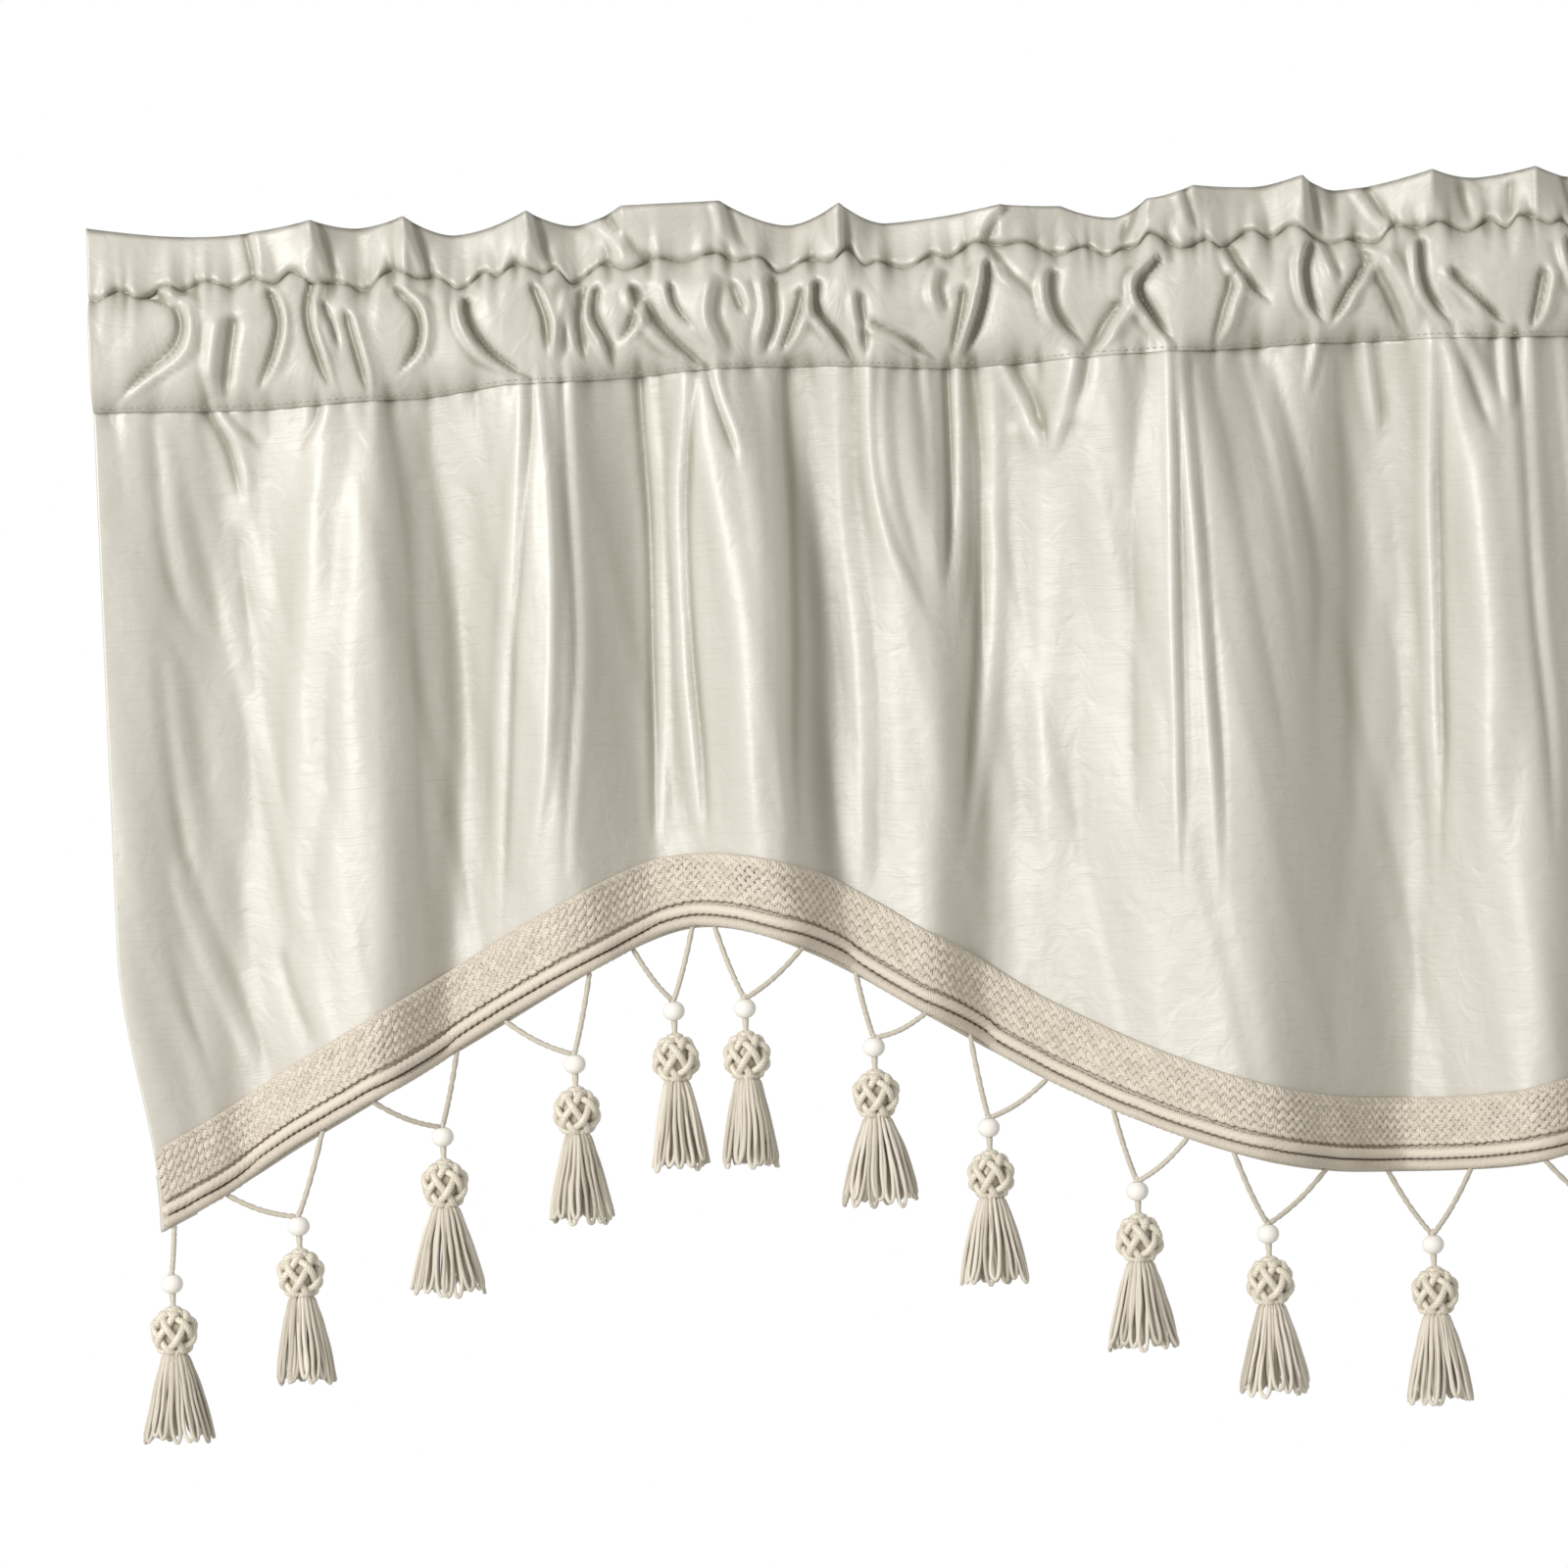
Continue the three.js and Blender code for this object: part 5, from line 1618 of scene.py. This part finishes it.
def make_key_light(scene, settings):
    """The soft light from the left, turned towards the valance."""
    key = bpy.data.lights.new("key", "AREA")
    key.shape = "RECTANGLE"
    key.size, key.size_y = LAMP_SIZE
    key.energy = settings.key
    key.color = (1.0, 0.99, 0.975)
    lamp = bpy.data.objects.new("key", key)
    lamp.location = LAMP_AT
    aim = np.array(LAMP_AIM) - np.array(lamp.location)
    lamp.rotation_euler = (
        math.pi / 2 - math.atan2(-aim[2], math.hypot(aim[0], aim[1])),
        0,
        math.atan2(aim[1], aim[0]) - math.pi / 2,
    )
    scene.collection.objects.link(lamp)


def make_surround(scene, settings):
    """Warm light from all round, which the camera itself sees as plain white."""
    world = bpy.data.worlds.new("surround")
    world.use_nodes = True
    tree = world.node_tree
    tree.nodes.clear()
    rays = new_node(tree, "ShaderNodeLightPath", (-100, 200))
    around = new_node(tree, "ShaderNodeBackground", (-100, 0), {
        "Color": (1.0, 0.98, 0.93, 1), "Strength": settings.fill})
    seen = new_node(tree, "ShaderNodeBackground", (-100, -150), {
        "Color": (1, 1, 1, 1), "Strength": 1.0})
    blend = new_node(tree, "ShaderNodeMixShader", (200, 0), {
        0: rays.outputs["Is Camera Ray"], 1: around.outputs[0], 2: seen.outputs[0]})
    new_node(tree, "ShaderNodeOutputWorld", (400, 0), {"Surface": blend.outputs[0]})
    scene.world = world


def make_floor():
    """A round floor some way below the tassels."""
    sides = 96
    turn = np.linspace(0, 2 * math.pi, sides, endpoint=False)
    ring = FLOOR_RADIUS / MM * np.stack([np.cos(turn), np.sin(turn), 0 * turn], axis=-1)
    points = np.concatenate([ring, [[0, 0, 0]]]) + [0, 0, -FLOOR_DROP / MM]
    at = np.arange(sides)
    faces = np.stack([at, np.roll(at, -1), np.full(sides, sides)], axis=-1)
    return mesh_object("floor", points, [faces], [floor_material("studio_floor")])


# Operators

class OBJECT_OT_valance_stage(bpy.types.Operator):
    """Set the camera, the soft light from the left, the white surround and the floor"""

    bl_idname = "object.valance_stage"
    bl_label = "Studio"

    def execute(self, context):
        scene = context.scene
        settings = scene.valance_stage
        make_camera(scene, settings)
        make_key_light(scene, settings)
        make_surround(scene, settings)
        scene.view_settings.view_transform = "Standard"
        floor = make_floor()
        return {"FINISHED"}


class OBJECT_OT_valance_heading(bpy.types.Operator):
    """Make the ruffle and the rod pocket as one folded strip of silk"""

    bl_idname = "object.valance_heading"
    bl_label = "Heading"

    def execute(self, context):
        settings = context.scene.valance_cloth
        silk = material_named("ivory_silk", silk_material, settings)
        piece, coordinates = make_heading(settings, [silk])
        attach(piece, "root")
        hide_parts("heading")
        return {"FINISHED"}


class OBJECT_OT_valance_panel(bpy.types.Operator):
    """Make the hanging panel with its folds, creases and turned hems"""

    bl_idname = "object.valance_panel"
    bl_label = "Panel"

    def execute(self, context):
        settings = context.scene.valance_cloth
        silk = material_named("ivory_silk", silk_material, settings)
        piece, coordinates = make_panel(settings, [silk])
        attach(piece, "root")
        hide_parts("panel")
        return {"FINISHED"}


class OBJECT_OT_valance_stitching(bpy.types.Operator):
    """Make the stitches along the ruffle's foot and the seam"""

    bl_idname = "object.valance_stitching"
    bl_label = "Stitching"

    def execute(self, context):
        settings = context.scene.valance_cloth
        # The thread's deep colour is the silk's crease colour: painted shade in the grooves between
        # its plies.
        thread = material_named(
            "thread", yarn_material, settings.light, settings.crease,
            rough=0.5, ply_pitch=0.0008, bump=0.3)
        piece = make_stitching(settings, [thread])
        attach(piece, "root")
        return {"FINISHED"}


class OBJECT_OT_valance_braid(bpy.types.Operator):
    """Make the plaited braid with its ropes along the hem"""

    bl_idname = "object.valance_braid"
    bl_label = "Braid"

    def execute(self, context):
        settings = context.scene.valance_braid
        plait = material_named(
            "braid_yarn", yarn_material, settings.yarn, settings.deep,
            rough=0.6, ply_pitch=0.0016, bump=0.6)
        rope = material_named(
            "braid_rope", yarn_material, settings.yarn, settings.deep,
            rough=0.55, ply_pitch=0.0011, bump=0.4)
        piece = make_braid(settings, [plait, rope])
        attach(piece, "root")
        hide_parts("braid")
        return {"FINISHED"}


class OBJECT_OT_valance_tassels(bpy.types.Operator):
    """Make the tassels with their cords, knotted balls and looped skirts"""

    bl_idname = "object.valance_tassels"
    bl_label = "Tassels"

    def execute(self, context):
        settings = context.scene.valance_tassel
        skirt = material_named(
            "tassel_yarn", yarn_material, settings.yarn, settings.deep,
            rough=0.55, ply_pitch=0.0012, bump=0.5)
        ball = material_named(
            "ball_cord", yarn_material, settings.knot, settings.deep,
            rough=0.3, ply_pitch=0.0016, bump=0.2)
        last = len(HANGERS) - 1
        for k in range(TASSELS):
            row = HANGERS[min(k, 2 * last - k)]
            side = -1 if k < last else 1
            piece = make_tassel(k + 1, row, side, settings, [skirt, ball])
            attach(piece, "root")
            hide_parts(f"tassel_{k + 1:02d}")
        return {"FINISHED"}


class OBJECT_OT_valance_pearls(bpy.types.Operator):
    """Make the pearls that the tassels' cords run through"""

    bl_idname = "object.valance_pearls"
    bl_label = "Pearls"

    def execute(self, context):
        settings = context.scene.valance_tassel
        pearl = material_named("pearl", pearl_material, settings)
        for k in range(TASSELS):
            piece = make_bead(k + 1, [pearl])
            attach(piece, "root")
            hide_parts(f"bead_{k + 1:02d}")
        return {"FINISHED"}


class VIEW3D_PT_valance(bpy.types.Panel):
    """The valance's pieces and their sizes"""

    bl_label = "Tassel Valance"
    bl_idname = "VIEW3D_PT_valance"
    bl_space_type = "VIEW_3D"
    bl_region_type = "UI"
    bl_category = "Valance"

    def draw(self, context):
        """A box for each group of pieces, with its operators and its settings."""
        layout = self.layout
        layout.use_property_split = True
        for owner, operators in SECTIONS:
            box = layout.box()
            for operator in operators:
                box.operator(operator.bl_idname)
            settings = getattr(context.scene, owner)
            for name in settings.__annotations__:
                box.prop(settings, name)


SECTIONS = (
    ("valance_stage", (OBJECT_OT_valance_stage,)),
    ("valance_cloth", (
        OBJECT_OT_valance_heading,
        OBJECT_OT_valance_panel,
        OBJECT_OT_valance_stitching,
    )),
    ("valance_braid", (OBJECT_OT_valance_braid,)),
    ("valance_tassel", (OBJECT_OT_valance_tassels, OBJECT_OT_valance_pearls)),
)
SETTINGS = {
    "valance_stage": StageSettings,
    "valance_cloth": ClothSettings,
    "valance_braid": BraidSettings,
    "valance_tassel": TasselSettings,
}
CLASSES = (
    *SETTINGS.values(),
    *(operator for _, operators in SECTIONS for operator in operators),
    VIEW3D_PT_valance,
)


def register():
    """Register the classes and hang the settings on the scene."""
    for made in CLASSES:
        bpy.utils.register_class(made)
    for name, group in SETTINGS.items():
        setattr(bpy.types.Scene, name, PointerProperty(type=group))


def unregister():
    """Take the settings and the classes away again."""
    for name in SETTINGS:
        delattr(bpy.types.Scene, name)
    for made in reversed(CLASSES):
        bpy.utils.unregister_class(made)


def main():
    """Makes the stage and every piece in order."""
    register()
    bpy.ops.object.valance_stage()
    bpy.ops.object.valance_panel()
    bpy.ops.object.valance_heading()
    bpy.ops.object.valance_stitching()
    bpy.ops.object.valance_braid()
    bpy.ops.object.valance_tassels()
    bpy.ops.object.valance_pearls()


if __name__ == "__main__":
    main()
